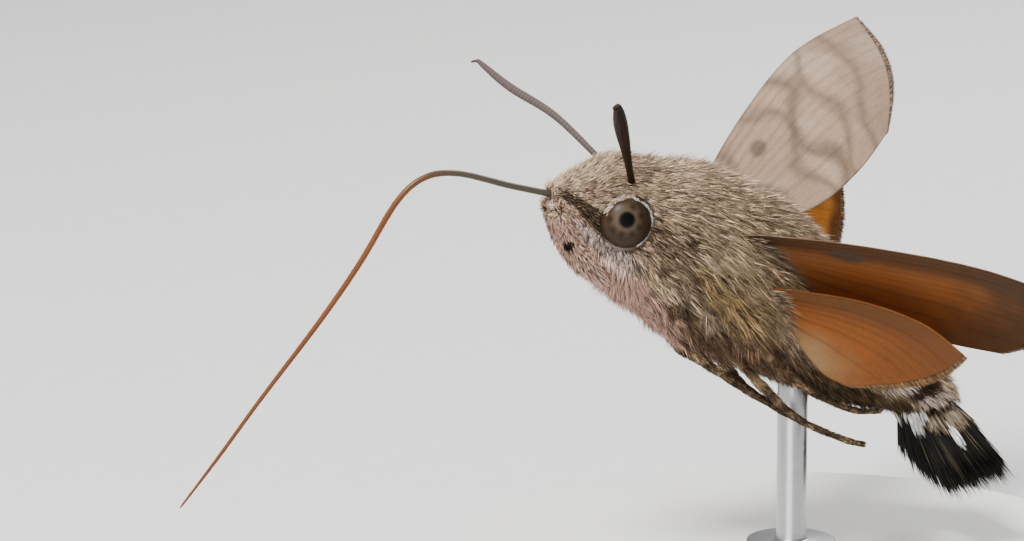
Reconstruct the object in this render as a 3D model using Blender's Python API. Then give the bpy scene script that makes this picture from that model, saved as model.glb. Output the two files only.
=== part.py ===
"""Hummingbird hawk moth at life size, hovering on a plain display stand.

Metres, +Z up. The moth faces -Y with its nose up, and its left side is +X.
The origin is the centre of the underside of the stand's base.
"""
import math
import random

import bmesh
import bpy
import numpy as np
from mathutils import Matrix, Vector

# Sizes are in millimetres and become metres where a mesh is made.
MM = 0.001
GAP = 0.3

# Body sections in the middle plane, from snout to tail end: where each section meets the
# back (y, z), where it meets the belly (y, z), and its half width.
BODY_SECTIONS = [
    ((-12.70, 22.35), (-12.60, 21.45), 0.45),
    ((-12.15, 22.85), (-11.55, 19.80), 0.95),
    ((-11.00, 23.30), (-10.75, 18.50), 1.55),
    ((-9.50, 23.75), (-10.10, 17.50), 1.95),
    ((-7.30, 23.45), (-9.00, 16.40), 2.45),
    ((-5.00, 23.10), (-8.00, 15.45), 3.15),
    ((-2.70, 22.10), (-6.60, 14.30), 3.80),
    ((-0.50, 20.80), (-4.60, 13.30), 4.05),
    ((1.35, 19.05), (-2.40, 12.50), 3.90),
    ((3.80, 16.45), (0.10, 11.35), 3.45),
    ((6.20, 13.80), (2.60, 10.45), 2.85),
    ((8.10, 11.75), (4.60, 10.15), 2.25),
    ((8.70, 10.60), (5.50, 9.75), 1.95),
]
BODY_SIDES = 28
NECK = 4.25
WAIST = 8.0
ABDOMEN_CUTS = (WAIST, 9.35, 10.7, 12.0)

EYE_CENTRE = (1.55, -9.38, 20.62)
EYE_RADII = (0.95, 1.27, 1.27)
EYE_SEGMENTS = 20
EYE_RINGS = 12

# Each side of the head has a feeler that springs from above the eye and ends in a club.
ANTENNA_PATHS = {
    "left": [
        (1.2, -8.95, 22.2), (1.7, -9.2, 22.7), (3.4, -10.1, 24.3), (6.0, -11.4, 26.15), (8.2, -12.42, 27.6),
    ],
    "right": [
        (-1.1, -9.1, 22.5), (-1.7, -9.7, 23.3), (-4.0, -11.0, 24.95), (-6.4, -12.45, 26.05),
        (-8.4, -13.5, 27.2),
    ],
}
ANTENNA_RADII = [0.27, 0.27, 0.27, 0.33, 0.2]

PALP_PATH = [
    (0.6, -9.6, 17.9), (0.75, -10.6, 18.25), (0.72, -11.5, 19.25), (0.6, -12.2, 20.5), (0.5, -12.55, 21.4),
]
PALP_WIDTHS = [0.4, 0.5, 0.5, 0.4, 0.28]
PALP_DEPTHS = [0.45, 0.6, 0.55, 0.42, 0.25]

# The proboscis lies in the middle plane and bends down to where the flower was.
PROBOSCIS_PATH = [
    (-12.2, 21.8), (-14.6, 22.42), (-17.3, 23.2), (-19.0, 23.1), (-20.4, 22.0), (-22.2, 19.25),
    (-24.2, 16.6), (-27.2, 13.0), (-29.2, 10.5), (-31.2, 8.1),
]
PROBOSCIS_RADII = [0.27, 0.27, 0.26, 0.26, 0.26, 0.26, 0.26, 0.25, 0.22, 0.12]
PROBOSCIS_CUTS = (0.0, 1.75, 4.55, 6.8, 9.0)

# A wing lies in its own plane: u runs out along the span and v back along the chord.
FOREWING_LEADING = [(-0.9, 0.0), (1.5, -0.5), (8.0, -0.95), (15.0, -0.7), (20.2, 0.9)]
FOREWING_TRAILING = [(-0.9, 1.5), (1.7, 3.3), (4.8, 4.9), (8.8, 5.6), (12.4, 5.7)]
FOREWING_VEINS = [
    (0.00, 0.00, 0.16), (0.14, 0.14, 0.16), (0.34, 0.30, 0.14), (0.42, 0.47, 0.12),
    (0.58, 0.63, 0.12), (0.72, 0.80, 0.12), (1.00, 1.00, 0.05),
]
HINDWING_LEADING = [(-0.9, 0.0), (1.5, -0.3), (6.0, -0.4), (9.6, 0.3), (11.6, 1.8)]
HINDWING_TRAILING = [(-0.9, 1.5), (0.5, 2.8), (1.1, 3.9), (1.7, 4.7), (2.9, 5.1)]
HINDWING_VEINS = [
    (0.00, 0.00, 0.14), (0.20, 0.20, 0.14), (0.38, 0.38, 0.12), (0.55, 0.56, 0.12),
    (0.75, 0.76, 0.12), (1.00, 1.00, 0.05),
]
WING_BULGE = {"forewing": 0.7, "hindwing": 0.8}
WING_ROWS = {"forewing": 15, "hindwing": 11}
WING_CAMBER = 0.05
WING_HALF_THICKNESS = 0.27
WING_TIP_HALF_THICKNESS = 0.16
WING_ROOT_HALF_THICKNESS = 0.45
WING_STATION = 6.05
WING_ANGLE = 66.0

# The hindwing is hinged behind the forewing, and lies this far under it.
HINDWING_OUT = 0.6
HINDWING_BACK = 2.3
HINDWING_DROP = 1.2

# Span direction of each side's wings, and a direction back across each wing, which with the
# span gives its plane. The left side is lower and less swept back than the right side.
WING_SPANS = {"left": (0.91, 0.41, 0.02), "right": (-0.66, 0.66, 0.36)}
WING_CHORDS = {
    "forewing": {"left": (-0.24, 0.60, -0.76), "right": (0.55, 0.74, -0.39)},
    "hindwing": {"left": (0.37, 0.58, -0.73), "right": (0.02, 0.54, -0.84)},
}

# Legs folded back under the body. Each hip is a body section and an angle round it, and the
# path runs on from there to the claws. The hind legs lie along the belly at this distance.
LEG_HIPS = {"foreleg": (5.0, 158.0), "midleg": (6.55, 146.0), "hindleg": (7.35, 132.0)}
HIP_DEPTH = 0.55
LEG_PATHS = {
    "foreleg": [(1.5, -5.4, 13.55), (1.7, -3.6, 12.3), (1.8, -1.6, 10.9), (1.9, -0.6, 10.3)],
    "midleg": [(2.3, -2.6, 12.2), (2.7, -0.8, 10.5), (3.0, 1.4, 9.4), (3.2, 2.4, 9.1)],
}
HINDLEG_STATIONS = [(8.1, 134.0), (9.0, 140.0), (9.9, 146.0), (10.7, 150.0)]
HINDLEG_OUT = 0.75
LEG_RADII = [0.42, 0.36, 0.3, 0.26, 0.2]

# The fan of long flat scales at the tail end, in tiers, and the tufts at each side of it.
FAN_AXIS = (0.0, 0.5, -0.87)
FAN_CORE_LENGTH = 1.6
FAN_CORE_SIZE = 0.94
FAN_CORE_TAPER = 0.45
FAN_CORE_RINGS = 3
FAN_CORE_SIDES = 16
FAN_LENGTH = 4.3
FAN_SPREAD = 36.0
FAN_TIERS = 3
FAN_LOCKS = 7
TIER_LIFT = 0.55
LOCK_STEPS = 5
LOCK_ROOT = 0.5
LOCK_WIDTHS = [0.45, 0.55, 0.52, 0.38, 0.1]
LOCK_DEPTHS = [0.27, 0.27, 0.25, 0.2, 0.08]
LOCK_SIDES = 6
LOCK_RINGS = 6
TUFT_ANGLES = (62.0, 100.0, 138.0)
TUFT_LOCKS = 2
TUFT_LENGTH = 2.9
TUFT_LIFT = 1.15
TUFT_SWING = 10.0
TUFT_SCALE = 0.75
TUFT_SPACING = 0.45
ROOT_SPREAD = 0.6
TIER_SPREAD = 0.52
FAN_ROUNDING = 0.12

BASE_RADIUS = 17.0
BASE_THICKNESS = 3.0
BASE_CHAMFER = 0.5
BASE_SIDES = 64
ROD_RADIUS = 0.75
ROD_FOOT_RADIUS = 2.2
ROD_FOOT_THICKNESS = 0.8
ROD_SIDES = 24
ROD_SINK = 0.9

COLOURS = {
    "grey_fur": (0.22, 0.18, 0.13),
    "pale_fur": (0.55, 0.45, 0.38),
    "dark_fur": (0.05, 0.035, 0.025),
    "eye": (0.08, 0.055, 0.04),
    "feeler": (0.09, 0.06, 0.055),
    "tongue": (0.12, 0.05, 0.02),
    "forewing": (0.20, 0.14, 0.10),
    "hindwing": (0.55, 0.20, 0.05),
    "leg": (0.16, 0.10, 0.06),
    "stand": (0.75, 0.74, 0.71),
    "rod": (0.62, 0.62, 0.63),
}
ROUGHNESS = {"eye": 0.2, "tongue": 0.35, "stand": 0.4, "rod": 0.3}
METALLIC = {"rod": 1.0}
SMOOTH_ANGLE = math.radians(40)


def clear_scene():
    """Remove every object, so the script starts from nothing."""
    for item in list(bpy.data.objects):
        bpy.data.objects.remove(item, do_unlink=True)


def smooth(rows, t):
    """Read a smooth curve through rows of numbers at t, counted in rows."""
    rows = np.asarray(rows, float)
    last = len(rows) - 1
    t = min(max(t, 0.0), float(last))
    i = min(int(t), last - 1)
    f = t - i
    before = rows[max(i - 1, 0)]
    a = rows[i]
    b = rows[i + 1]
    after = rows[min(i + 2, last)]
    out = 2 * a + (b - before) * f
    out = out + (2 * before - 5 * a + 4 * b - after) * f ** 2
    out = out + (3 * a - before - 3 * b + after) * f ** 3
    return out / 2


def unit(vector):
    vector = np.asarray(vector, float)
    return vector / np.linalg.norm(vector)


def body_section(t):
    """Centre, upward direction, half height and half width of the body's section at t."""
    rows = [(*back, *belly, width) for back, belly, width in BODY_SECTIONS]
    back_y, back_z, belly_y, belly_z, width = smooth(rows, t)
    back = np.array([0.0, back_y, back_z])
    belly = np.array([0.0, belly_y, belly_z])
    return (back + belly) / 2, unit(back - belly), np.linalg.norm(back - belly) / 2, width


def body_point(t, degrees, out=0.0):
    """Point on the body's side at section t, turned from the back towards the left side."""
    centre, up, height, width = body_section(t)
    angle = math.radians(degrees)
    side = np.array([1.0, 0.0, 0.0])
    return centre + up * (height + out) * math.cos(angle) + side * (width + out) * math.sin(angle)


def ring_faces(rings, sides):
    """Quads between rings of points, closed by a flat face at each end."""
    faces = []
    for i in range(rings - 1):
        for j in range(sides):
            k = (j + 1) % sides
            faces.append((i * sides + j, i * sides + k, (i + 1) * sides + k, (i + 1) * sides + j))
    faces.append(tuple(range(sides)))
    faces.append(tuple(range((rings - 1) * sides, rings * sides)))
    return faces


def make_object(name, points, faces, origin=(0, 0, 0), turn=None):
    """Closed mesh from points in millimetres about an origin, with its faces turned outwards."""
    mesh = bpy.data.meshes.new(name)
    mesh.from_pydata([[value * MM for value in point] for point in points], [], faces)
    work = bmesh.new()
    work.from_mesh(mesh)
    bmesh.ops.recalc_face_normals(work, faces=work.faces)
    work.to_mesh(mesh)
    work.free()
    item = bpy.data.objects.new(name, mesh)
    bpy.context.scene.collection.objects.link(item)
    matrix = Matrix.Translation(Vector(origin) * MM)
    if turn is not None:
        matrix = matrix @ turn
    item.matrix_world = matrix
    return item


def body_length(name, start, end, rings, open_front=False, open_back=False):
    """One length of the body, ending half a gap short of the next length."""
    points = []
    origin = body_section((start + end) / 2)[0]
    for i in range(rings):
        t = start + (end - start) * i / (rings - 1)
        centre, up, height, width = body_section(t)
        along = np.array([0.0, up[2], -up[1]])
        shift = 0.0
        if i == 0 and not open_front:
            shift = GAP / 2
        if i == rings - 1 and not open_back:
            shift = -GAP / 2
        for j in range(BODY_SIDES):
            degrees = 360.0 * j / BODY_SIDES
            points.append(body_point(t, degrees) + along * shift - origin)
    return make_object(name, points, ring_faces(rings, BODY_SIDES), origin)


def sweep(name, path, widths, depths, hint, sides, rings, grow=0.0):
    """Tapered length along a smooth path, oval across, with its width square to the hint."""
    name = name if grow == 0 else "cutter"
    path = np.asarray(path, float)
    origin = path[0]
    last = len(path) - 1
    points = []
    for i in range(rings):
        t = last * i / (rings - 1)
        here = smooth(path, t)
        ahead = smooth(path, min(t + 0.05, last)) - smooth(path, max(t - 0.05, 0.0))
        along = unit(ahead)
        side = unit(np.cross(along, hint))
        up = np.cross(side, along)
        width = smooth([[v] for v in widths], t)[0] + grow
        depth = smooth([[v] for v in depths], t)[0] + grow
        if i == 0:
            here = here - along * grow
        if i == rings - 1:
            here = here + along * grow
        for j in range(sides):
            angle = 2 * math.pi * j / sides
            points.append(here + side * width * math.cos(angle) + up * depth * math.sin(angle) - origin)
    return make_object(name, points, ring_faces(rings, sides), origin)


def combine(main, others, operation, solver="EXACT"):
    """Cut or join other closed meshes into the main one, then remove them."""
    group = bpy.data.collections.new("tools")
    for other in others:
        for owner in list(other.users_collection):
            owner.objects.unlink(other)
        group.objects.link(other)
    bpy.context.scene.collection.children.link(group)
    modifier = main.modifiers.new("combine", "BOOLEAN")
    modifier.operand_type = "COLLECTION"
    modifier.collection = group
    modifier.operation = operation
    modifier.solver = solver
    bpy.context.view_layer.update()
    graph = bpy.context.evaluated_depsgraph_get()
    result = bpy.data.meshes.new_from_object(main.evaluated_get(graph))
    main.modifiers.clear()
    main.data = result
    for other in others:
        bpy.data.objects.remove(other, do_unlink=True)
    bpy.data.collections.remove(group)
    keep_largest(main.data)


def keep_largest(mesh):
    """Leave only the closed surface that holds the most."""
    work = bmesh.new()
    work.from_mesh(mesh)
    bmesh.ops.triangulate(work, faces=work.faces)
    bmesh.ops.remove_doubles(work, verts=work.verts, dist=0.002 * MM)
    bmesh.ops.dissolve_degenerate(work, dist=0.002 * MM, edges=work.edges)
    waiting = set(work.verts)
    shells = []
    while waiting:
        shell = {waiting.pop()}
        edge_of_shell = list(shell)
        while edge_of_shell:
            vert = edge_of_shell.pop()
            for edge in vert.link_edges:
                other = edge.other_vert(vert)
                if other not in shell:
                    shell.add(other)
                    edge_of_shell.append(other)
        waiting -= shell
        shells.append(shell)

    def volume(shell):
        faces = {face for vert in shell for face in vert.link_faces}
        total = 0.0
        for face in faces:
            a, b, c = [vert.co for vert in face.verts[:3]]
            total += a.dot(b.cross(c)) / 6
        return abs(total)

    shells.sort(key=volume)
    for shell in shells[:-1]:
        bmesh.ops.delete(work, geom=list(shell), context="VERTS")
    work.to_mesh(mesh)
    work.free()


def finish(item, kind, parent):
    """Material of its own, smooth shading, and a place under the model's empty."""
    material = bpy.data.materials.new(item.name + "_finish")
    material.use_nodes = True
    shader = material.node_tree.nodes["Principled BSDF"]
    shader.inputs["Base Color"].default_value = (*COLOURS[kind], 1.0)
    shader.inputs["Roughness"].default_value = ROUGHNESS.get(kind, 0.75)
    shader.inputs["Metallic"].default_value = METALLIC.get(kind, 0.0)
    item.data.materials.clear()
    item.data.materials.append(material)
    item.data.shade_smooth()
    item.data.set_sharp_from_angle(angle=SMOOTH_ANGLE)
    matrix = item.matrix_world.copy()
    item.parent = parent
    item.matrix_world = matrix


def build_eye(side, grow=0.0):
    """Flattened ball, set in a socket of the head."""
    sign = 1 if side == "left" else -1
    name = "eye_" + side if grow == 0 else "cutter"
    centre = (EYE_CENTRE[0] * sign, EYE_CENTRE[1], EYE_CENTRE[2])
    radii = [radius + grow for radius in EYE_RADII]
    points = [(-radii[0], 0, 0)]
    for i in range(1, EYE_RINGS):
        tilt = math.pi * i / EYE_RINGS
        for j in range(EYE_SEGMENTS):
            turn = 2 * math.pi * j / EYE_SEGMENTS
            points.append((
                -radii[0] * math.cos(tilt),
                radii[1] * math.sin(tilt) * math.cos(turn),
                radii[2] * math.sin(tilt) * math.sin(turn),
            ))
    points.append((radii[0], 0, 0))
    last = len(points) - 1
    faces = []
    for j in range(EYE_SEGMENTS):
        k = (j + 1) % EYE_SEGMENTS
        faces.append((0, 1 + j, 1 + k))
        faces.append((last, last - EYE_SEGMENTS + k, last - EYE_SEGMENTS + j))
        for i in range(EYE_RINGS - 2):
            a = 1 + i * EYE_SEGMENTS
            faces.append((a + j, a + EYE_SEGMENTS + j, a + EYE_SEGMENTS + k, a + k))
    return make_object(name, points, faces, centre)


def build_antenna(side, grow=0.0):
    """Feeler that thickens to a club, with a finer hooked tip."""
    path = ANTENNA_PATHS[side]
    return sweep("antenna_" + side, path, ANTENNA_RADII, ANTENNA_RADII, (0, 0, 1), 8, 13, grow)


def build_palp(side, grow=0.0):
    """Upturned mouth feeler that lies against the front of the face."""
    sign = 1 if side == "left" else -1
    path = [(x * sign, y, z) for x, y, z in PALP_PATH]
    return sweep("palp_" + side, path, PALP_WIDTHS, PALP_DEPTHS, (1, 0, 0), 10, 8, grow)


def build_proboscis(index, grow=0.0):
    """One length of the tongue, cut square at its ends."""
    start = PROBOSCIS_CUTS[index]
    end = PROBOSCIS_CUTS[index + 1]
    path = [(0.0, y, z) for y, z in PROBOSCIS_PATH]
    radii = [[radius] for radius in PROBOSCIS_RADII]
    steps = 6
    lengths = [smooth(path, start + (end - start) * i / steps) for i in range(steps + 1)]
    if index > 0:
        lengths[0] = lengths[0] + unit(lengths[1] - lengths[0]) * GAP / 2
    if index < len(PROBOSCIS_CUTS) - 2:
        lengths[-1] = lengths[-1] - unit(lengths[-1] - lengths[-2]) * GAP / 2
    sizes = [smooth(radii, start + (end - start) * i / steps)[0] for i in range(steps + 1)]
    return sweep("proboscis_%d" % (index + 1), lengths, sizes, sizes, (1, 0, 0), 8, 9, grow)


def wing_frame(side, wing):
    """Root point and turn of a wing, from the body's side and the wing's plane."""
    sign = 1 if side == "left" else -1
    root = body_point(WING_STATION, WING_ANGLE * sign)
    span = unit(WING_SPANS[side])

    def square_chord(kind):
        across = np.asarray(WING_CHORDS[kind][side], float)
        return unit(across - span * across.dot(span))

    chord = square_chord("forewing")
    upper = np.cross(span, chord)
    if wing == "hindwing":
        root = root + span * HINDWING_OUT + chord * HINDWING_BACK - upper * sign * HINDWING_DROP
        chord = square_chord("hindwing")
        upper = np.cross(span, chord)
    turn = Matrix((span, chord, upper)).transposed().to_4x4()
    return root, turn


def wing_surface(wing, t, f):
    """Middle of the wing at t out along the veins and f from front to back edge."""
    plan = {
        "forewing": (FOREWING_LEADING, FOREWING_TRAILING),
        "hindwing": (HINDWING_LEADING, HINDWING_TRAILING),
    }
    leading, trailing = plan[wing]
    front = smooth(leading, t * (len(leading) - 1))
    back = smooth(trailing, t * (len(trailing) - 1))
    place = front + (back - front) * f
    outward = unit(np.array([back[1] - front[1], front[0] - back[0]]))
    place = place + outward * WING_BULGE[wing] * math.sin(math.pi * f) * t ** 4
    chord = np.linalg.norm(back - front)
    return np.array([place[0], place[1], WING_CAMBER * chord * math.sin(math.pi * f)])


def build_wing(side, wing, grow=0.0):
    """Thin wing whose main veins stand as ridges on both faces, cut alike on both."""
    sign = 1 if side == "left" else -1
    veins = {"forewing": FOREWING_VEINS, "hindwing": HINDWING_VEINS}[wing]
    lines = []
    for i, vein in enumerate(veins):
        lines.append(vein)
        if i < len(veins) - 1:
            ahead = veins[i + 1]
            lines.append(((vein[0] + ahead[0]) / 2, (vein[1] + ahead[1]) / 2, 0.0))
    rows = WING_ROWS[wing]
    upper = []
    lower = []
    for i in range(rows):
        t = (i / (rows - 1)) ** 1.15
        for root_place, end_place, ridge in lines:
            f = root_place + (end_place - root_place) * t
            place = wing_surface(wing, t, f)
            half = WING_HALF_THICKNESS + (WING_TIP_HALF_THICKNESS - WING_HALF_THICKNESS) * t
            root_share = max(0.0, 1 - t / 0.16)
            half = half + (WING_ROOT_HALF_THICKNESS - WING_HALF_THICKNESS) * root_share
            half = half + (ridge if grow == 0 else 0.16) * (1 - 0.6 * t) + grow
            if grow:
                place[1] += grow * (2 * f - 1)
                if i == 0:
                    place[0] -= grow
            upper.append(place + np.array([0, 0, half]))
            lower.append(place - np.array([0, 0, half]))
    points = [(u, v, w * sign) for u, v, w in upper + lower]
    across = len(lines)
    below = rows * across
    faces = []
    for i in range(rows - 1):
        for j in range(across - 1):
            a = i * across + j
            b = a + 1
            c = a + across + 1
            d = a + across
            for corner in ((a, b, c), (a, c, d)):
                faces.append(corner)
                faces.append(tuple(below + k for k in reversed(corner)))
    rim = [j for j in range(across)]
    rim += [i * across + across - 1 for i in range(1, rows)]
    rim += [(rows - 1) * across + j for j in range(across - 2, -1, -1)]
    rim += [i * across for i in range(rows - 2, 0, -1)]
    for k, here in enumerate(rim):
        ahead = rim[(k + 1) % len(rim)]
        faces.append((here, ahead, below + ahead, below + here))
    root, turn = wing_frame(side, wing)
    name = wing + "_" + side if grow == 0 else "cutter"
    return make_object(name, points, faces, root, turn)


def build_leg(side, leg, grow=0.0):
    """Jointed leg, thickest at the thigh and finest at the foot."""
    sign = 1 if side == "left" else -1
    station, degrees = LEG_HIPS[leg]
    path = [body_point(station, degrees * sign, -HIP_DEPTH)]
    if leg == "hindleg":
        path += [body_point(t, angle * sign, HINDLEG_OUT) for t, angle in HINDLEG_STATIONS]
    else:
        path += [(x * sign, y, z) for x, y, z in LEG_PATHS[leg]]
    return sweep(leg + "_" + side, path, LEG_RADII, LEG_RADII, (1, 0, 0), 7, 11, grow)


def fan_lock(start, axis, across, lift, length, swing, scale):
    """One flat tapered lock that bends sideways as it runs out, wide across its middle."""
    path = []
    for step in range(LOCK_STEPS):
        share = step / (LOCK_STEPS - 1)
        bend = swing * share
        reach = length * share
        path.append(start + axis * reach * math.cos(bend) + across * reach * math.sin(bend) + lift * share)
    widths = [width * scale for width in LOCK_WIDTHS]
    return sweep("lock", path, widths, LOCK_DEPTHS, np.cross(across, axis), LOCK_SIDES, LOCK_RINGS)


def build_tail_fan():
    """Core on the end of the abdomen, with tiers of locks behind it and tufts at its sides."""
    draw = random.Random(7)
    centre, up, height, width = body_section(len(BODY_SECTIONS) - 1)
    across = np.array([1.0, 0.0, 0.0])
    axis = unit(FAN_AXIS)
    along = np.array([0.0, up[2], -up[1]])
    root = centre + along * GAP
    core = []
    for i in range(FAN_CORE_RINGS):
        share = i / (FAN_CORE_RINGS - 1)
        here = (along * (1 - share) + axis * share) * FAN_CORE_LENGTH * share
        size = FAN_CORE_SIZE * (1 - FAN_CORE_TAPER * share)
        for j in range(FAN_CORE_SIDES):
            angle = 2 * math.pi * j / FAN_CORE_SIDES
            core.append(here + (up * height * math.cos(angle) + across * width * math.sin(angle)) * size)
    fan = make_object("tail_fan", core, ring_faces(FAN_CORE_RINGS, FAN_CORE_SIDES), root)

    locks = []
    for tier in range(FAN_TIERS):
        level = tier - (FAN_TIERS - 1) / 2
        count = FAN_LOCKS - tier % 2
        for k in range(count):
            share = (k / (count - 1) * 2 - 1) * (count - 1) / (FAN_LOCKS - 1)
            swing = math.radians(FAN_SPREAD * share + draw.uniform(-2, 2))
            length = FAN_LENGTH * (1 - FAN_ROUNDING * share ** 2) * draw.uniform(0.93, 1.04)
            start = root + along * LOCK_ROOT + across * width * ROOT_SPREAD * share
            start = start + up * height * TIER_SPREAD * level
            locks.append(fan_lock(start, axis, across, up * level * TIER_LIFT, length, swing, 1.0))
    for sign in (-1, 1):
        for degrees in TUFT_ANGLES:
            angle = math.radians(degrees)
            out = unit(up * math.cos(angle) + across * math.sin(angle) * sign)
            beside = np.cross(out, axis)
            for k in range(TUFT_LOCKS):
                share = k - (TUFT_LOCKS - 1) / 2
                start = root + along * LOCK_ROOT + up * height * ROOT_SPREAD * math.cos(angle)
                start = start + across * width * ROOT_SPREAD * math.sin(angle) * sign
                start = start + beside * TUFT_SPACING * share
                length = TUFT_LENGTH * draw.uniform(0.85, 1.0)
                lift = out * TUFT_LIFT * draw.uniform(0.9, 1.1)
                swing = math.radians(TUFT_SWING * share)
                locks.append(fan_lock(start, axis, beside, lift, length, swing, TUFT_SCALE))
    combine(fan, locks, "UNION", "MANIFOLD")
    return fan


def build_stand():
    """Flat round base with a chamfered rim, and a rod with a foot that carries the moth."""
    profile = [
        (BASE_RADIUS, 0.0), (BASE_RADIUS, BASE_THICKNESS - BASE_CHAMFER),
        (BASE_RADIUS - BASE_CHAMFER, BASE_THICKNESS),
    ]
    base = turned("stand_base", profile, BASE_SIDES, (0, 0, 0))
    foot = BASE_THICKNESS + GAP
    top = rod_top()
    profile = [
        (ROD_FOOT_RADIUS, 0.0), (ROD_FOOT_RADIUS, ROD_FOOT_THICKNESS * 0.5),
        (ROD_FOOT_RADIUS * 0.8, ROD_FOOT_THICKNESS),
        (ROD_RADIUS, ROD_FOOT_THICKNESS * 1.2), (ROD_RADIUS, top - foot),
    ]
    rod = turned("stand_rod", profile, ROD_SIDES, (0, 0, foot))
    return base, rod


def turned(name, profile, sides, origin):
    """Round piece about an upright axis, from (radius, height) pairs going up."""
    points = []
    for radius, height in profile:
        for j in range(sides):
            angle = 2 * math.pi * j / sides
            points.append((radius * math.cos(angle), radius * math.sin(angle), height))
    return make_object(name, points, ring_faces(len(profile), sides), origin)


def rod_top():
    """Height where the rod ends inside its socket in the belly."""
    best = None
    for i in range(200):
        t = WAIST + (len(BODY_SECTIONS) - 1 - WAIST) * i / 199
        belly = body_point(t, 180.0)
        if best is None or abs(belly[1]) < abs(best[1]):
            best = belly
    return best[2] + ROD_SINK


def build():
    clear_scene()
    model = bpy.data.objects.new("moth", None)
    bpy.context.scene.collection.objects.link(model)

    base, rod = build_stand()
    head = body_length("head", 0.0, NECK, 11, open_front=True)
    thorax = body_length("thorax", NECK, WAIST, 10)
    abdomen = []
    names = ("abdomen_base", "abdomen_middle", "abdomen_end")
    for name, start, end in zip(names, ABDOMEN_CUTS[:-1], ABDOMEN_CUTS[1:]):
        is_last = end == ABDOMEN_CUTS[-1]
        abdomen.append(body_length(name, start, end, 5, open_back=is_last))
    fan = build_tail_fan()

    head_cutters = [build_proboscis(0, GAP)]
    thorax_cutters = []
    rear_cutters = [[], [], []]
    small = []
    for side in ("left", "right"):
        small.append((build_eye(side), "eye"))
        small.append((build_antenna(side), "feeler"))
        small.append((build_palp(side), "pale_fur"))
        head_cutters += [build_eye(side, GAP), build_antenna(side, GAP), build_palp(side, GAP)]
        for wing in ("forewing", "hindwing"):
            small.append((build_wing(side, wing), wing))
            thorax_cutters.append(build_wing(side, wing, GAP))
            if wing == "hindwing":
                rear_cutters[0].append(build_wing(side, wing, GAP))
        for leg in LEG_HIPS:
            small.append((build_leg(side, leg), "leg"))
            thorax_cutters.append(build_leg(side, leg, GAP))
            if leg != "foreleg":
                for cutters in rear_cutters:
                    cutters.append(build_leg(side, leg, GAP))
    for index in range(len(PROBOSCIS_CUTS) - 1):
        small.append((build_proboscis(index), "tongue"))
    top = rod_top()
    socket = turned(
        "socket", [(ROD_RADIUS + GAP, 0.0), (ROD_RADIUS + GAP, top + GAP)], ROD_SIDES, (0, 0, 0)
    )
    rear_cutters[0].append(socket)

    combine(head, head_cutters, "DIFFERENCE")
    combine(thorax, thorax_cutters, "DIFFERENCE")
    for item, cutters in zip(abdomen, rear_cutters):
        combine(item, cutters, "DIFFERENCE")

    finish(base, "stand", model)
    finish(rod, "rod", model)
    finish(head, "grey_fur", model)
    finish(thorax, "grey_fur", model)
    for item in abdomen:
        finish(item, "dark_fur", model)
    finish(fan, "dark_fur", model)
    for item, kind in small:
        finish(item, kind, model)


build()
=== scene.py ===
import math

import bpy
import numpy as np
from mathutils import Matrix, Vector


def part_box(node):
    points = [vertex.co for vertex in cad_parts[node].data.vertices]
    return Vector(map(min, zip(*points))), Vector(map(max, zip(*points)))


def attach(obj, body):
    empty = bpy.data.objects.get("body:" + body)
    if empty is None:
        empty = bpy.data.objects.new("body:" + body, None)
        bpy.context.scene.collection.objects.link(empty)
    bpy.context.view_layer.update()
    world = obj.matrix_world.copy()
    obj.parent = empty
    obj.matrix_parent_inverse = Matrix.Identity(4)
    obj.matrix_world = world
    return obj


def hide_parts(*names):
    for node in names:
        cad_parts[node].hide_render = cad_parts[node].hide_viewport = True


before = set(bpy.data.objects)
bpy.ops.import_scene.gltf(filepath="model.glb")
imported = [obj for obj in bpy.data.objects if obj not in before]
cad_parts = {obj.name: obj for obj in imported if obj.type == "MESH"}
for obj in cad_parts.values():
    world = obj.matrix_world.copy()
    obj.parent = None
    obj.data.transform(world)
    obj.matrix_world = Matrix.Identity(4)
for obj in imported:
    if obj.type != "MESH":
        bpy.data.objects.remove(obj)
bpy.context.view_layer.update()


# Stand base: a turned aluminium disc with a rounded top edge, sprayed with satin off-white paint.
# It rests on its flat underside, and the rod's foot is screwed to its middle.
MM = 0.001
BASE_RADIUS = 17.0
BASE_THICKNESS = 3.0
BASE_ROUNDING = 0.5
SMOOTH_BELOW = math.radians(30)
PAINT = (0.78, 0.765, 0.73)
DUST = (0.7, 0.68, 0.63)


class Wire:
    """A shader socket that takes part in sums, so a mask is written as one line of maths."""

    def __init__(self, socket):
        self.socket = socket

    def sum(self, operation, first, second):
        return add_node(self.socket.id_data, "Math", {"operation": operation}, {0: first, 1: second})

    def __add__(self, other):
        return self.sum("ADD", self, other)

    def __sub__(self, other):
        return self.sum("SUBTRACT", self, other)

    def __rsub__(self, other):
        return self.sum("SUBTRACT", other, self)

    def __mul__(self, other):
        return self.sum("MULTIPLY", self, other)

    def __truediv__(self, other):
        return self.sum("DIVIDE", self, other)

    __radd__ = __add__
    __rmul__ = __mul__

    def limit(self):
        return self.sum("MINIMUM", self.sum("MAXIMUM", self, 0.0), 1.0)


def add_node(tree, kind, settings=None, sockets=None, out=0):
    """Adds a shader node, sets it up, feeds its sockets with values or wires and returns one output."""
    node = tree.nodes.new("ShaderNode" + kind)
    for name, value in (settings or {}).items():
        setattr(node, name, value)
    for name, value in (sockets or {}).items():
        socket = node.inputs[name]
        if isinstance(value, Wire):
            tree.links.new(value.socket, socket)
        elif socket.type == "RGBA":
            socket.default_value = (*value, 1.0)
        else:
            socket.default_value = value
    return Wire(node.outputs[out])


def blend_colours(tree, share, first, second):
    """Mixes two colours by a share."""
    return add_node(tree, "Mix", {"data_type": "RGBA"}, {0: share, 6: first, 7: second}, 2)


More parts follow.
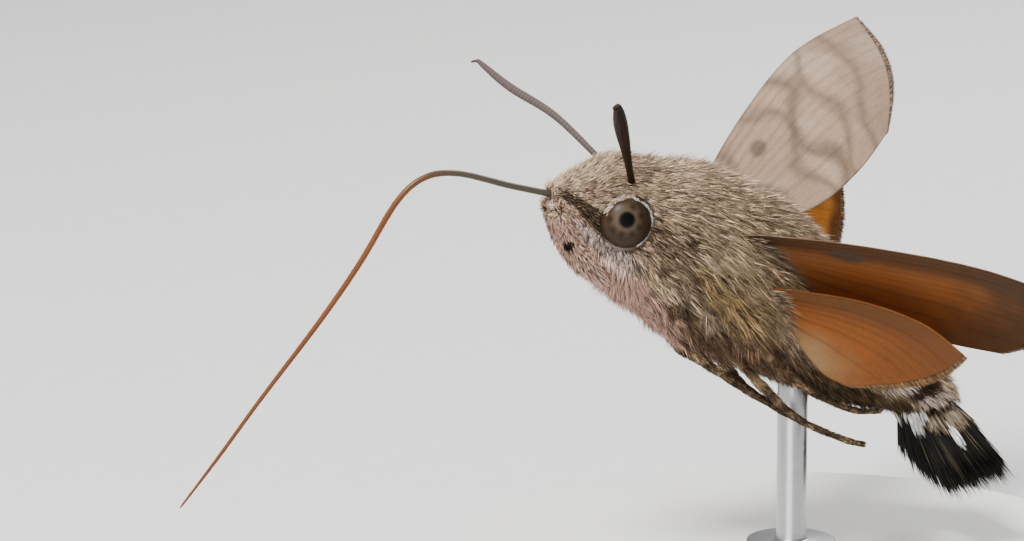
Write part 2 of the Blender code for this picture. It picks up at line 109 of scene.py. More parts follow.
def new_material(name, build):
    """Makes a material; build gets the node tree and returns the shader's sockets."""
    material = bpy.data.materials.new(name)
    material.use_nodes = True
    tree = material.node_tree
    shader = tree.nodes["Principled BSDF"]
    for socket, value in build(tree).items():
        if isinstance(value, Wire):
            tree.links.new(value.socket, shader.inputs[socket])
        elif shader.inputs[socket].type == "RGBA":
            shader.inputs[socket].default_value = (*value, 1.0)
        else:
            shader.inputs[socket].default_value = value
    return material


def paint_nodes(tree):
    """Satin paint with faint orange peel and a breath of dust."""
    place = add_node(tree, "TexCoord", out=3)
    peel = add_node(tree, "TexNoise", {}, {"Vector": place, "Scale": 2600.0, "Detail": 2.0})
    dust = add_node(tree, "TexNoise", {}, {"Vector": place, "Scale": 320.0, "Detail": 4.0})
    colour = blend_colours(tree, dust * 0.35, PAINT, DUST)
    bump = add_node(tree, "Bump", {}, {"Height": peel, "Strength": 0.06, "Distance": 0.00004})
    return {"Base Color": colour, "Roughness": 0.34 + dust * 0.16, "Normal": bump}


def begin():
    """Deselects everything, so that the next operator works on the new piece alone."""
    if bpy.context.object and bpy.context.object.mode != "OBJECT":
        bpy.ops.object.mode_set(mode="OBJECT")
    bpy.ops.object.select_all(action="DESELECT")


def settle(piece, name, material, slot, *nodes):
    """Names a finished piece, puts its place in its mesh, and ties it to the frame."""
    begin()
    piece.select_set(True)
    bpy.context.view_layer.objects.active = piece
    bpy.ops.object.transform_apply(location=True, rotation=True, scale=True)
    piece.name = name
    piece.data.name = name
    piece.data.materials.clear()
    piece.data.materials.append(material)
    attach(piece, "root")
    if nodes:
        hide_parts(*nodes)
    return piece


begin()
bpy.ops.mesh.primitive_cylinder_add(
    vertices=128, radius=BASE_RADIUS * MM, depth=BASE_THICKNESS * MM, location=(0, 0, BASE_THICKNESS / 2 * MM)
)
base = bpy.context.object
bpy.ops.object.modifier_add(type="BEVEL")
base.modifiers[-1].width = BASE_ROUNDING * MM
base.modifiers[-1].segments = 5
bpy.ops.object.modifier_apply(modifier=base.modifiers[-1].name)
bpy.ops.object.shade_smooth_by_angle(angle=SMOOTH_BELOW)
paint = new_material("stand_paint", paint_nodes)
settle(base, "stand_base_painted", paint, "stand", "stand_base")


# Stand rod: a ground steel pin with a small round foot, screwed down to the base.
# Its top end sits in the fur of the belly, just ahead of the hind legs.
ROD_RADIUS = 0.75
ROD_FOOT_RADIUS = 2.2
ROD_FOOT_THICKNESS = 0.8
ROD_ROUNDING = 0.12
STEEL_DARK = (0.5, 0.5, 0.51)
STEEL_LIGHT = (0.66, 0.66, 0.66)


def steel_nodes(tree):
    """Steel with fine rings left by the grinding wheel."""
    place = add_node(tree, "TexCoord", out=3)
    scale = add_node(tree, "VectorMath", {"operation": "MULTIPLY"}, {0: place, 1: (300.0, 300.0, 9000.0)})
    rings = add_node(tree, "TexNoise", {}, {"Vector": scale, "Scale": 1.0, "Detail": 3.0})
    bump = add_node(tree, "Bump", {}, {"Height": rings, "Strength": 0.12, "Distance": 0.00003})
    colour = blend_colours(tree, rings, STEEL_DARK, STEEL_LIGHT)
    return {"Base Color": colour, "Metallic": 1.0, "Roughness": 0.24 + rings * 0.16, "Normal": bump}


begin()
rod_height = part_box("stand_rod")[1].z - BASE_THICKNESS * MM
bpy.ops.mesh.primitive_cylinder_add(
    vertices=48, radius=ROD_FOOT_RADIUS * MM, depth=ROD_FOOT_THICKNESS * MM,
    location=(0, 0, (BASE_THICKNESS + ROD_FOOT_THICKNESS / 2) * MM),
)
rod = bpy.context.object
bpy.ops.object.mode_set(mode="EDIT")
bpy.ops.mesh.select_mode(type="FACE")
bpy.ops.mesh.select_all(action="DESELECT")
bpy.ops.object.mode_set(mode="OBJECT")
for face in rod.data.polygons:
    face.select = face.normal.z > 0.9
bpy.ops.object.mode_set(mode="EDIT")
bpy.ops.mesh.inset(thickness=(ROD_FOOT_RADIUS - ROD_RADIUS) * MM)
bpy.ops.mesh.extrude_region_move(
    TRANSFORM_OT_translate={"value": (0, 0, rod_height - ROD_FOOT_THICKNESS * MM)}
)
bpy.ops.object.mode_set(mode="OBJECT")
bpy.ops.object.modifier_add(type="BEVEL")
rod.modifiers[-1].width = ROD_ROUNDING * MM
rod.modifiers[-1].segments = 3
bpy.ops.object.modifier_apply(modifier=rod.modifiers[-1].name)
bpy.ops.object.shade_smooth_by_angle(angle=SMOOTH_BELOW)
steel = new_material("stand_steel", steel_nodes)
settle(rod, "stand_rod_steel", steel, "rod", "stand_rod")


# Skin: the moth's soft body in one closed form from snout to tail, under its coat of hair scales.
# It lies inside the outline of the fur by the depth of the coat, and carries the coat's markings.
# Sections from snout to tail end: the back's and the belly's place (y, z) and half the width, in millimetres.
BODY_SECTIONS = [
    ((-12.70, 22.35), (-12.60, 21.45), 0.45),
    ((-12.15, 22.85), (-11.55, 19.80), 0.95),
    ((-11.00, 23.30), (-10.75, 18.50), 1.55),
    ((-9.50, 23.75), (-10.10, 17.50), 1.95),
    ((-7.30, 23.45), (-9.00, 16.40), 2.45),
    ((-5.00, 23.10), (-8.00, 15.45), 3.15),
    ((-2.70, 22.10), (-6.60, 14.30), 3.80),
    ((-0.50, 20.80), (-4.60, 13.30), 4.05),
    ((1.35, 19.05), (-2.40, 12.50), 3.90),
    ((3.80, 16.45), (0.10, 11.35), 3.45),
    ((6.20, 13.80), (2.60, 10.45), 2.85),
    ((8.10, 11.75), (4.60, 10.15), 2.25),
    ((8.70, 10.60), (5.50, 9.75), 1.95),
]
BODY_END = 12.0
FULL_TURN = 6.28
SKIN_SHADE = 0.26
# Depth of the coat at each section.
COAT_DEPTH = [0.12, 0.2, 0.24, 0.28, 0.38, 0.5, 0.55, 0.55, 0.5, 0.42, 0.38, 0.36, 0.34]
EYE_CENTRE = np.array([1.55, -9.38, 20.62])
EYE_RADII = np.array([0.95, 1.27, 1.27])

OLIVE_TAN = np.array([0.505, 0.368, 0.243])
PALE_TAN = np.array([0.88, 0.66, 0.45])
PINK_CREAM = np.array([0.48, 0.293, 0.23])
CREAM_WHITE = np.array([0.74, 0.59, 0.52])
DARK_BROWN = np.array([0.04, 0.022, 0.011])
CHEST_BROWN = np.array([0.105, 0.062, 0.036])
GOLDEN = np.array([0.42, 0.28, 0.115])
FLANK_GREY = np.array([0.2, 0.145, 0.1])
BELLY_BROWN = np.array([0.055, 0.034, 0.016])


def read_rows(rows, where):
    """Smooth curve through rows of numbers, read at many places at once."""
    rows = np.asarray(rows, float).reshape(len(rows), -1)
    last = len(rows) - 1
    where = np.clip(np.asarray(where, float), 0, last)
    i = np.minimum(where.astype(int), last - 1)
    f = (where - i)[..., None]
    before = rows[np.maximum(i - 1, 0)]
    a = rows[i]
    b = rows[i + 1]
    after = rows[np.minimum(i + 2, last)]
    curve = 2 * a + (b - before) * f + (2 * before - 5 * a + 4 * b - after) * f ** 2
    return (curve + (3 * a - before - 3 * b + after) * f ** 3) / 2


def unit(vectors):
    """Vectors of length one."""
    vectors = np.asarray(vectors, float)
    return vectors / np.maximum(np.linalg.norm(vectors, axis=-1, keepdims=True), 1e-12)


def body_place(t, angle, out):
    """Points on the body's outline at stations t and angles from the back, out along its sections."""
    rows = [(*back, *belly, width) for back, belly, width in BODY_SECTIONS]
    read = read_rows(rows, t)
    zero = np.zeros_like(read[..., 0])
    back = np.stack([zero, read[..., 0], read[..., 1]], -1)
    belly = np.stack([zero, read[..., 2], read[..., 3]], -1)
    tall = np.linalg.norm(back - belly, axis=-1)
    up = unit(back - belly)
    width = read[..., 4]
    side = np.array([1.0, 0.0, 0.0])
    rise = (tall / 2 + out) * np.cos(angle)
    reach = (width + out) * np.sin(angle)
    return (back + belly) / 2 + up * rise[..., None] + side * reach[..., None]


def step(value, start, end):
    """Soft step from 0 at start to 1 at end."""
    share = np.clip((value - start) / (end - start), 0, 1)
    return share * share * (3 - 2 * share)


def waves(points, size, seed):
    """Soft random field between about -1 and 1, with patches of the given size in millimetres."""
    draw = np.random.default_rng(seed)
    total = 0
    for _ in range(7):
        way = draw.normal(size=3)
        way = way / np.linalg.norm(way)
        total = total + np.sin(
            points @ way * FULL_TURN / size / draw.uniform(0.7, 1.5) + draw.uniform(0, FULL_TURN)
        )
    return total / 4.2


def paint_over(colour, share, other):
    """Colours with another laid over by a share."""
    return colour + (other - colour) * np.asarray(share)[..., None]


def body_colour(t, angle, points):
    """Markings of skin and coat at stations and angles from the back, the same on both sides."""
    turn = np.degrees(np.abs(angle))
    ruffle = waves(points, 1.6, 3)
    patch = waves(points, 3.2, 4)
    colour = np.broadcast_to(OLIVE_TAN, points.shape).copy()
    colour = paint_over(colour, np.clip(0.45 + 0.4 * patch, 0, 1) * step(60 - turn, 0, 40), PALE_TAN)
    grey = step(turn, 84, 104) * step(t, 4.4, 5.2)
    colour = paint_over(colour, 0.85 * grey, FLANK_GREY)
    gold_line = np.interp(t, [4.6, 5.4, 7.0, 8.2], [96, 101, 119, 132])
    gold = step(11 + 4 * ruffle - np.abs(turn - gold_line), 0, 7)
    gold = gold * step(t, 4.7, 5.3) * step(8.6 - t, 0, 0.7)
    colour = paint_over(colour, 0.62 * gold, GOLDEN)
    cheek = step(t, 2.9, 3.6) * step(5.3 - t, 0, 0.9) * step(turn, 58, 84) * step(128 - turn, 0, 14)
    colour = paint_over(colour, 0.7 * cheek * np.clip(0.75 + 0.35 * ruffle, 0, 1), CHEST_BROWN)
    flank = step(turn, 62, 92) * step(t, 4.6, 5.8) * step(8.4 - t, 0, 0.8)
    colour = paint_over(colour, flank * np.clip(0.32 + 0.3 * patch, 0, 0.6), CHEST_BROWN)
    low = step(t, 5.6, 7.0)
    chest = step(turn + 5 * ruffle + 12 * low, 124, 136) * step(t, 4.2, 4.9)
    colour = paint_over(colour, chest, CHEST_BROWN)
    throat_from = [
        (0, 75), (1, 98), (2, 112), (3, 116), (4, 127), (4.5, 134), (5.5, 146), (6.5, 158), (7.1, 186),
    ]
    throat_line = np.interp(t, *zip(*throat_from))
    throat = step(turn + 3 * ruffle, throat_line - 4, throat_line + 5)
    colour = paint_over(colour, throat, PINK_CREAM)
    below_eye = step(3.9 - t, 0, 0.8) * step(turn, 103, 114) * step(138 - turn, 0, 16)
    colour = paint_over(colour, 0.85 * below_eye, CREAM_WHITE * 1.1)
    streak_line = np.interp(t, [0.3, 1.15, 2.0, 2.6], [56, 74, 94, 102])
    streak = step(19 + 4 * ruffle - np.abs(turn - streak_line), 0, 9)
    streak = streak * step(t, 0.3, 0.7) * step(2.75 - t, 0, 0.35)
    colour = paint_over(colour, 0.9 * streak, DARK_BROWN)
    brow = step(waves(points, 0.8, 6), 0.0, 0.6) * step(t, 0.7, 1.3)
    brow = brow * step(3.1 - t, 0, 0.6) * step(72 - turn, 0, 16)
    colour = paint_over(colour, 0.4 * brow, CHEST_BROWN)
    temple = step(12 - np.hypot((t - 1.9) * 24, turn - 56), 0, 9)
    colour = paint_over(colour, 0.45 * temple, PINK_CREAM)
    rear = step(t, 7.9, 9.0)
    colour = paint_over(colour, 0.45 * rear * step(110 - turn, 0, 30), FLANK_GREY)
    patches = step(26 - np.abs(turn - 84), 0, 8) * step(t, 9.0, 9.3)
    dark = step(np.cos((t - 9.55) * FULL_TURN) + 0.25 * ruffle, -0.15, 0.25)
    colour = paint_over(colour, patches * dark, DARK_BROWN)
    colour = paint_over(colour, 0.75 * patches * (1 - dark), CREAM_WHITE)
    under = rear * step(turn + 6 * ruffle, 106, 122)
    colour = paint_over(colour, under, BELLY_BROWN)
    return colour


def vertex_places(mesh):
    """Places of a mesh's vertices, one row each."""
    places = np.zeros(len(mesh.vertices) * 3)
    mesh.vertices.foreach_get("co", places)
    return places.reshape(-1, 3)


def smooth_outward():
    """Turns the faces of the piece in hand outwards and shades it smooth."""
    bpy.ops.object.mode_set(mode="EDIT")
    bpy.ops.mesh.select_all(action="SELECT")
    bpy.ops.mesh.normals_make_consistent(inside=False)
    bpy.ops.object.mode_set(mode="OBJECT")
    bpy.ops.object.shade_smooth()


def long_form(name, sides, rings, place, colour):
    """Shapes a ball: its height gives the share along the form, its turn the angle round it."""
    begin()
    bpy.ops.mesh.primitive_uv_sphere_add(segments=sides, ring_count=rings, radius=1.0)
    piece = bpy.context.object
    mesh = piece.data
    points = vertex_places(mesh)
    share = np.arccos(np.clip(-points[:, 2], -1, 1)) / math.pi
    angle = np.arctan2(points[:, 1], points[:, 0])
    placed = place(share, angle)
    mesh.vertices.foreach_set("co", (placed * MM).ravel())
    tint(mesh, colour(share, angle, placed))
    smooth_outward()
    piece.name = name
    return piece


def tint(mesh, colours):
    """Stores a colour for each point of a mesh, dimmed where it is too bright, so that it keeps its hue."""
    brightest = np.max(colours, axis=-1, keepdims=True)
    colours = colours * np.minimum(1.0, 0.85 / np.maximum(brightest, 0.01))
    layer = mesh.color_attributes.new("tint", "FLOAT_COLOR", "POINT")
    shown = np.ones((len(mesh.vertices), 4))
    shown[:, :3] = np.maximum(colours, 0.002)
    layer.data.foreach_set("color", shown.ravel())


def fur_nodes(tree):
    """Hair scales: their own colour with fine streaks along them, and a soft sheen."""
    own = add_node(tree, "Attribute", {"attribute_name": "tint"})
    place = add_node(tree, "TexCoord", out=3)
    grain = add_node(
        tree, "TexNoise", {}, {"Vector": place, "Scale": 9000.0, "Detail": 3.0, "Roughness": 0.6}
    )
    cloud = add_node(tree, "TexNoise", {}, {"Vector": place, "Scale": 900.0, "Detail": 2.0})
    light = 0.62 + grain * 0.5 + cloud * 0.26
    colour = add_node(tree, "VectorMath", {"operation": "SCALE"}, {0: own, "Scale": light})
    bump = add_node(tree, "Bump", {}, {"Height": grain, "Strength": 0.35, "Distance": 0.00003})
    return {
        "Base Color": colour, "Roughness": 0.55 + grain * 0.2, "Normal": bump, "Specular IOR Level": 0.12,
    }


def skin_place(share, angle):
    """Point of the skin at a share of the body's length, under the coat by its depth."""
    t = share * BODY_END
    depth = read_rows(COAT_DEPTH, t)[..., 0]
    return body_place(t, angle, -depth * step(share, 0, 0.01))


def skin_colour(share, angle, points):
    """The coat's own markings, darker, as the shade between the hairs."""
    return body_colour(share * BODY_END, angle, points) * SKIN_SHADE


fur = new_material("hair_scales", fur_nodes)
skin = long_form("skin", 96, 160, skin_place, skin_colour)
settle(
    skin, "body_skin", fur, "fur", "head", "thorax", "abdomen_base", "abdomen_middle", "abdomen_end"
)


# Coat: hair scales from a third of a millimetre long on the snout to two on the flanks.
# They lie back and down along the body in small overlapping locks, with painted shade at the root and pale
# tips.
PATCH = 0.003
HAIR_STEPS = 3
HAIR_TAPER = np.array([0.8, 1.0, 0.0])
STRAY_SHARE = 0.08
WIDTH_TO_RADIUS = 1.8
ROOT_DEPTH = 0.06
EYE_OPENING = 0.93
# At each section: the hairs' turn down from straight back, in degrees, their length on back, side and
# belly, their width, and how many grow on a square millimetre.
LIE_BACK = [-5, 0, 4, 8, 10, 12, 14, 16, 14, 8, 4, 0, 0]
HAIR_LENGTH = {
    "top": [0.38, 0.5, 0.62, 0.8, 0.95, 1.15, 1.3, 1.3, 1.15, 1.0, 0.9, 0.85, 0.8],
    "side": [0.34, 0.4, 0.52, 0.72, 1.05, 1.5, 1.75, 1.75, 1.5, 1.1, 0.9, 0.85, 0.8],
    "under": [0.34, 0.5, 0.75, 1.1, 1.2, 1.25, 1.25, 1.25, 1.1, 0.9, 0.8, 0.75, 0.7],
}
HAIR_WIDTH = [0.028, 0.031, 0.034, 0.037, 0.042, 0.047, 0.05, 0.05, 0.05, 0.05, 0.05, 0.05, 0.05]
HAIRS_PER_MM2 = [620, 560, 480, 390, 320, 265, 240, 235, 205, 165, 150, 145, 140]
# Pieces of the coat: from and to which station, and between which turns from the back, in degrees.
COAT_PIECES = {
    "coat_face": (0.0, 2.35, 0, 180),
    "coat_head_top": (2.35, 4.25, 0, 88),
    "coat_throat": (2.35, 4.9, 88, 180),
    "coat_nape": (4.25, 5.75, 0, 88),
    "coat_back": (5.75, 8.2, 0, 72),
    "coat_shoulders": (4.9, 6.4, 72, 118),
    "coat_flanks": (6.4, 8.2, 72, 125),
    "coat_chest": (4.9, 8.2, 118, 180),
    "coat_abdomen_top": (8.2, 12.0, 0, 92),
    "coat_abdomen_under": (8.2, 12.0, 92, 180),
}


def tuft_mesh(name, path, side_way, widths, colours, roots_uv, flat=0.45):
    """Joins many thin closed tufts, each a three-sided blade along its row of path points, into one mesh."""
    count, steps, _ = path.shape
    ahead = unit(np.gradient(path, axis=1))
    across = unit(side_way[:, None, :] - ahead * np.sum(side_way[:, None, :] * ahead, -1, keepdims=True))
    rise = np.cross(ahead, across)
    corner = np.radians([90.0, 210.0, 330.0])
    rings = path[:, :-1, None, :] + widths[:, :-1, None, None] * (
        across[:, :-1, None, :] * np.cos(corner)[None, None, :, None]
        + rise[:, :-1, None, :] * np.sin(corner)[None, None, :, None] * flat
    )
    ring_total = (steps - 1) * 3
    each = ring_total + 1
    points = np.concatenate([rings.reshape(count, ring_total, 3), path[:, -1:, :]], 1)
    tints = np.concatenate([np.repeat(colours[:, :-1], 3, axis=1), colours[:, -1:]], 1)
    along = np.concatenate([np.repeat(np.arange(steps - 1), 3), [steps - 1]]) / (steps - 1)
    around = np.concatenate([np.tile([0.0, 0.5, 1.0], steps - 1), [0.5]])
    uv = roots_uv[:, None, :] + (np.stack([around, along], -1)[None] - 0.5) * PATCH
    quads = []
    for ring in range(steps - 2):
        for k in range(3):
            a, b = ring * 3 + k, ring * 3 + (k + 1) % 3
            quads.append((a, b, b + 3, a + 3))
    last = (steps - 2) * 3
    triangles = [(last + k, last + (k + 1) % 3, ring_total) for k in range(3)] + [(2, 1, 0)]
    loops = np.array([i for face in quads for i in face] + [i for face in triangles for i in face])
    sizes = np.array([4] * len(quads) + [3] * len(triangles))
    starts = np.concatenate([[0], np.cumsum(sizes)[:-1]])
    shift = np.arange(count)[:, None]
    all_loops = (loops[None] + shift * each).ravel()
    mesh = bpy.data.meshes.new(name)
    mesh.vertices.add(count * each)
    mesh.vertices.foreach_set("co", (points * MM).ravel())
    mesh.loops.add(len(all_loops))
    mesh.loops.foreach_set("vertex_index", all_loops)
    mesh.polygons.add(count * len(sizes))
    mesh.polygons.foreach_set("loop_start", (starts[None] + shift * len(loops)).ravel())
    layer = mesh.uv_layers.new(name="OFBake")
    layer.uv.foreach_set("vector", np.clip(uv.reshape(-1, 2)[all_loops], 0.0, 1.0).ravel())
    mesh.update(calc_edges=True)
    tint(mesh, tints.reshape(-1, 3))
    mesh.polygons.foreach_set("use_smooth", np.ones(len(mesh.polygons), bool))
    piece = bpy.data.objects.new(name, mesh)
    bpy.context.scene.collection.objects.link(piece)
    return piece


def body_directions(t, angle):
    """Skin point, outward normal, backward and downward directions at stations and angles."""
    def at(t_here, angle_here):
        return body_place(t_here, angle_here, -read_rows(COAT_DEPTH, t_here)[..., 0])
    here = at(t, angle)
    back = unit(at(np.minimum(t + 0.02, BODY_END), angle) - at(np.maximum(t - 0.02, 0), angle))
    down = unit(at(t, angle + 0.02) - at(t, angle - 0.02))
    normal = unit(np.cross(down, back))
    outward = np.sum(normal * (here - body_place(t, angle, -1.2)), -1, keepdims=True)
    return here, normal * np.sign(outward), back, down


def scatter(draw, t_low, t_high, turn_low, turn_high, density):
    """Even random stations and angles over a band of the body, on both sides."""
    cells = 220
    t_edges = np.linspace(t_low, t_high, cells + 1)
    turn_edges = np.radians(np.linspace(turn_low, turn_high, cells + 1))
    t_mid = (t_edges[1:] + t_edges[:-1]) / 2
    turn_mid = (turn_edges[1:] + turn_edges[:-1]) / 2
    t, turn = np.meshgrid(t_mid, turn_mid, indexing="ij")
    dt = (t_high - t_low) / cells
    da = math.radians(turn_high - turn_low) / cells
    depth = read_rows(COAT_DEPTH, t)[..., 0]
    along = body_place(t + dt / 2, turn, -depth) - body_place(t - dt / 2, turn, -depth)
    round_it = body_place(t, turn + da / 2, -depth) - body_place(t, turn - da / 2, -depth)
    hairs = np.linalg.norm(np.cross(along, round_it), axis=-1) * density(t)
    total = int(hairs.sum() * 2)
    cell = draw.choice(hairs.size, total, p=(hairs / hairs.sum()).ravel())
    t = t.ravel()[cell] + draw.uniform(-0.5, 0.5, total) * dt
    turn = turn.ravel()[cell] + draw.uniform(-0.5, 0.5, total) * da
    return np.clip(t, 0, BODY_END), turn * np.where(draw.random(total) < 0.5, 1, -1)


def clear_of_eyes(points):
    """True where no point of a tuft lies in an eye or over the open part of its dome."""
    mirrored = points.copy()
    mirrored[..., 0] = np.abs(points[..., 0])
    away = (mirrored - EYE_CENTRE) / EYE_RADII
    inside = np.linalg.norm(away, axis=-1) < 1.03
    over = (np.hypot(away[..., 1], away[..., 2]) < EYE_OPENING) & (mirrored[..., 0] > 1.2)
    return ~np.any(inside | over, axis=-1)


def eye_nearness(points):
    """Distance of points from the eyes' middles, counted in eye radii along the side of the head."""
    away = (points - EYE_CENTRE) / EYE_RADII
    return np.hypot(away[..., 1], away[..., 2])


def find_locks(draw, here, hairs_in_lock):
    """Gathers hairs into locks: each follows the nearest of some chance leaders."""
    leaders = draw.choice(len(here), max(8, int(len(here) / hairs_in_lock)), replace=False)
    nearest = np.empty(len(here), int)
    for start in range(0, len(here), 2000):
        gap = here[start:start + 2000, None, :] - here[None, leaders, :]
        nearest[start:start + 2000] = leaders[np.argmin((gap ** 2).sum(-1), 1)]
    return nearest


def bent_lines(start, middle, tip):
    """Centre lines of hairs from start to tip, each bowed towards its middle point."""
    s = np.linspace(0, 1, HAIR_STEPS)[None, :, None]
    return start[:, None] * (1 - s) ** 2 + middle[:, None] * 2 * s * (1 - s) + tip[:, None] * s ** 2


def hair_paths(draw, t, angle, length, lift, swirl, clump, hairs_in_lock=16):
    """Centre lines of hairs that rise from the skin and bend over along the body, drawn into locks."""
    here, normal, back, down = body_directions(t, angle)
    side = np.sign(angle)[:, None]
    turning = waves(here, 1.3, 8) + 0.6 * waves(here, 0.5, 9)
    lie = np.radians(read_rows(LIE_BACK, t)[..., 0] + swirl * turning * 26)
    turned = np.degrees(np.abs(angle))
    beard = step(turned, 100, 124) * step(4.3 - t, 0, 1.0) * step(t, 0.8, 1.6)
    lie = lie + np.radians(draw.normal(0, 9, len(t)) + 58 * beard)
    way = unit(back * np.cos(lie)[:, None] + down * side * np.sin(lie)[:, None])
    rise = np.radians(lift) * draw.uniform(0.6, 1.3, len(t))
    rise = np.where(draw.random(len(t)) < STRAY_SHARE, np.clip(rise * 2.0, 0, 1.0), rise)
    reach = length[:, None]
    middle = here + reach * 0.5 * (way * np.cos(rise * 1.5)[:, None] + normal * np.sin(rise * 1.5)[:, None])
    across = unit(np.cross(normal, way))
    middle = middle + across * reach * draw.normal(0, 0.07, (len(t), 1))
    tip = here + reach * (way * np.cos(rise)[:, None] + normal * np.sin(rise)[:, None])
    nearest = find_locks(draw, here, hairs_in_lock)
    pull = clump * draw.uniform(0.3, 1.0, len(t))[:, None]
    tip = tip + (tip[nearest] - tip) * pull
    middle = middle + (middle[nearest] - middle) * pull * 0.4
    return bent_lines(here - normal * ROOT_DEPTH, middle, tip), across, nearest


def hair_colours(draw, base, steps=HAIR_STEPS, contrast=1.0, lock=None):
    """Root to tip colours of each hair: chance light, dark and pale-tipped ones, tones by lock, painted shade
    at the root.
    """
    count = len(base)
    light = np.exp(draw.normal(0, 0.5, count) * contrast)
    light = light * np.where(draw.random(count) < 0.24 * contrast, 0.3, 1.0)
    if lock is not None:
        light = light * np.exp(draw.normal(0, 0.42, count))[lock]
    pale = np.where(draw.random(count) < 0.3, draw.uniform(0.35, 0.95, count), 0.1)
    ramp = np.linspace(0, 1, steps)
    # Painted shade: each hair darkens towards its root, where the hairs over it would shade it.
    shade = 1 - contrast * 0.8 * (1 - np.clip(ramp * 1.5, 0, 1))
    glow = 1 + pale[:, None] * contrast * ramp[None] ** 2
    warm = 1 + draw.normal(0, 0.04, (count, 1, 3)) * np.array([1.0, 0.3, -1.0])
    return base[:, None, :] * (light[:, None] * shade[None] * glow)[..., None] * warm


def skin_uv(t, angle):
    """Place of a root on an unwrap of the skin: length along it, and turn round it from the belly."""
    return np.stack([0.5 + angle / (2 * math.pi) * 0.98, 0.01 + t / BODY_END * 0.98], -1)


def coat_density(t):
    """Hairs on a square millimetre at stations along the body."""
    return read_rows(HAIRS_PER_MM2, t)[..., 0]


coat_draw = np.random.default_rng(11)
for name, (t_low, t_high, turn_low, turn_high) in COAT_PIECES.items():
    t, angle = scatter(coat_draw, t_low, t_high, turn_low, turn_high, coat_density)
    turn = np.degrees(np.abs(angle))
    side = step(turn, 40, 85)
    under = step(turn, 118, 145)
    by_place = [read_rows(HAIR_LENGTH[place], t)[..., 0] for place in ("top", "side", "under")]
    length = by_place[0] * (1 - side) + by_place[1] * side
    length = (length * (1 - under) + by_place[2] * under) * coat_draw.uniform(0.6, 1.25, len(t))
    near_eye = step(eye_nearness(body_place(t, angle, 0.0)), 0.95, 1.5)
    length = length * (0.45 + 0.55 * near_eye)
    depth = read_rows(COAT_DEPTH, t)[..., 0] * (0.6 + 0.4 * near_eye)
    lift = np.degrees(np.arcsin(np.clip(depth / length, 0.05, 0.75)))
    long_fur = step(turn, 70, 95) * step(t, 4.3, 5.4) * step(8.6 - t, 0, 0.8)
    path, across, lock = hair_paths(
        coat_draw, t, angle, length, lift, 0.55 + 0.9 * long_fur, (0.45 + 0.3 * long_fur)[:, None]
    )
    widths = read_rows(HAIR_WIDTH, t)[..., 0] * coat_draw.uniform(0.65, 1.35, len(t))
    widths = widths[:, None] * HAIR_TAPER / WIDTH_TO_RADIUS
    colours = hair_colours(coat_draw, body_colour(t, angle, path[:, 0]), lock=lock)
    keep = clear_of_eyes(path)
    piece = tuft_mesh(name, path[keep], across[keep], widths[keep], colours[keep], skin_uv(t, angle)[keep])
    settle(piece, name, fur, "fur")

# Single longer hairs that stand out on the brow, crown, chin, breast, back and wing roots. Each row holds
# its stations, its turns from the back, hairs on a square millimetre, length, rise in degrees and tint.
STANDING_HAIR = {
    "coat_brow_hairs": (0.0, 0.5, 0, 180, 520, 0.42, 84, OLIVE_TAN * 0.5),
    "coat_face_hairs": (0.25, 2.2, 0, 180, 46, 0.34, 46, None),
    "coat_crown_hairs": (2.0, 4.6, 0, 60, 40, 0.62, 46, None),
    "coat_chin_tufts": (1.3, 4.2, 126, 180, 170, 0.95, 50, PINK_CREAM * 1.3),
    "coat_breast_hairs": (4.2, 7.6, 136, 180, 44, 0.95, 32, None),
    "coat_chest_pale_hairs": (4.8, 7.0, 116, 144, 12, 0.5, 26, CREAM_WHITE),
    "coat_back_hairs": (4.6, 11.8, 0, 130, 11, 1.05, 34, None),
    "coat_wing_root_hairs": (5.3, 7.3, 50, 112, 44, 2.1, 20, GOLDEN),
}
for name, (t_low, t_high, turn_low, turn_high, density, long, rise, tone) in STANDING_HAIR.items():
    t, angle = scatter(coat_draw, t_low, t_high, turn_low, turn_high, lambda t: np.full_like(t, density))
    length = long * coat_draw.uniform(0.6, 1.2, len(t))
    lift = np.full(len(t), float(rise))
    path, across, _ = hair_paths(coat_draw, t, angle, length, lift, 0.6, np.full((len(t), 1), 0.5), 9)
    widths = coat_draw.uniform(0.014, 0.023, len(t))[:, None] * HAIR_TAPER
    base_colour = body_colour(t, angle, path[:, 0]) * 1.15
    if tone is not None:
        base_colour = paint_over(base_colour, coat_draw.uniform(0.1, 0.7, len(t)), tone)
    colours = hair_colours(coat_draw, base_colour, contrast=0.6)
    keep = clear_of_eyes(path)
    piece = tuft_mesh(name, path[keep], across[keep], widths[keep], colours[keep], skin_uv(t, angle)[keep])
    settle(piece, name, fur, "fur")


# Palps: two upturned furry feelers pressed together under the brow, which form the snout's front.
# Each is a soft stalk covered in short pinkish hair scales that point up and forward.
PALP_HAIRS = 5200
PALP_PATH = [
    (0.6, -9.6, 17.9), (0.75, -10.6, 18.25), (0.72, -11.5, 19.25), (0.6, -12.2, 20.5), (0.5, -12.55, 21.4),
]
PALP_WIDTHS = [0.3, 0.4, 0.4, 0.32, 0.2]
PALP_DEPTHS = [0.35, 0.48, 0.44, 0.33, 0.18]
# Small dark spot on the outer side of each palp.
PALP_SPOT = np.array([0.85, -12.1, 19.75])


def tube_place(path, widths, depths, hint, share, angle):
    """Points round a bent tube of changing thickness, at shares of its length and angles."""
    where = share * (len(path) - 1)
    middle = read_rows(path, where)
    ahead = unit(read_rows(path, where + 0.02) - read_rows(path, where - 0.02))
    across = unit(np.cross(np.broadcast_to(np.asarray(hint, float), ahead.shape), ahead))
    rise = np.cross(ahead, across)
    ends = np.sqrt(np.clip(1 - np.clip(np.abs(share - 0.5) * 2 - 0.96, 0, 1) ** 2 / 0.0016, 0, 1))
    wide = read_rows(widths, share * (len(widths) - 1))[..., 0] * ends
    tall = read_rows(depths, share * (len(depths) - 1))[..., 0] * ends
    return middle + across * (wide * np.cos(angle))[..., None] + rise * (tall * np.sin(angle))[..., None]


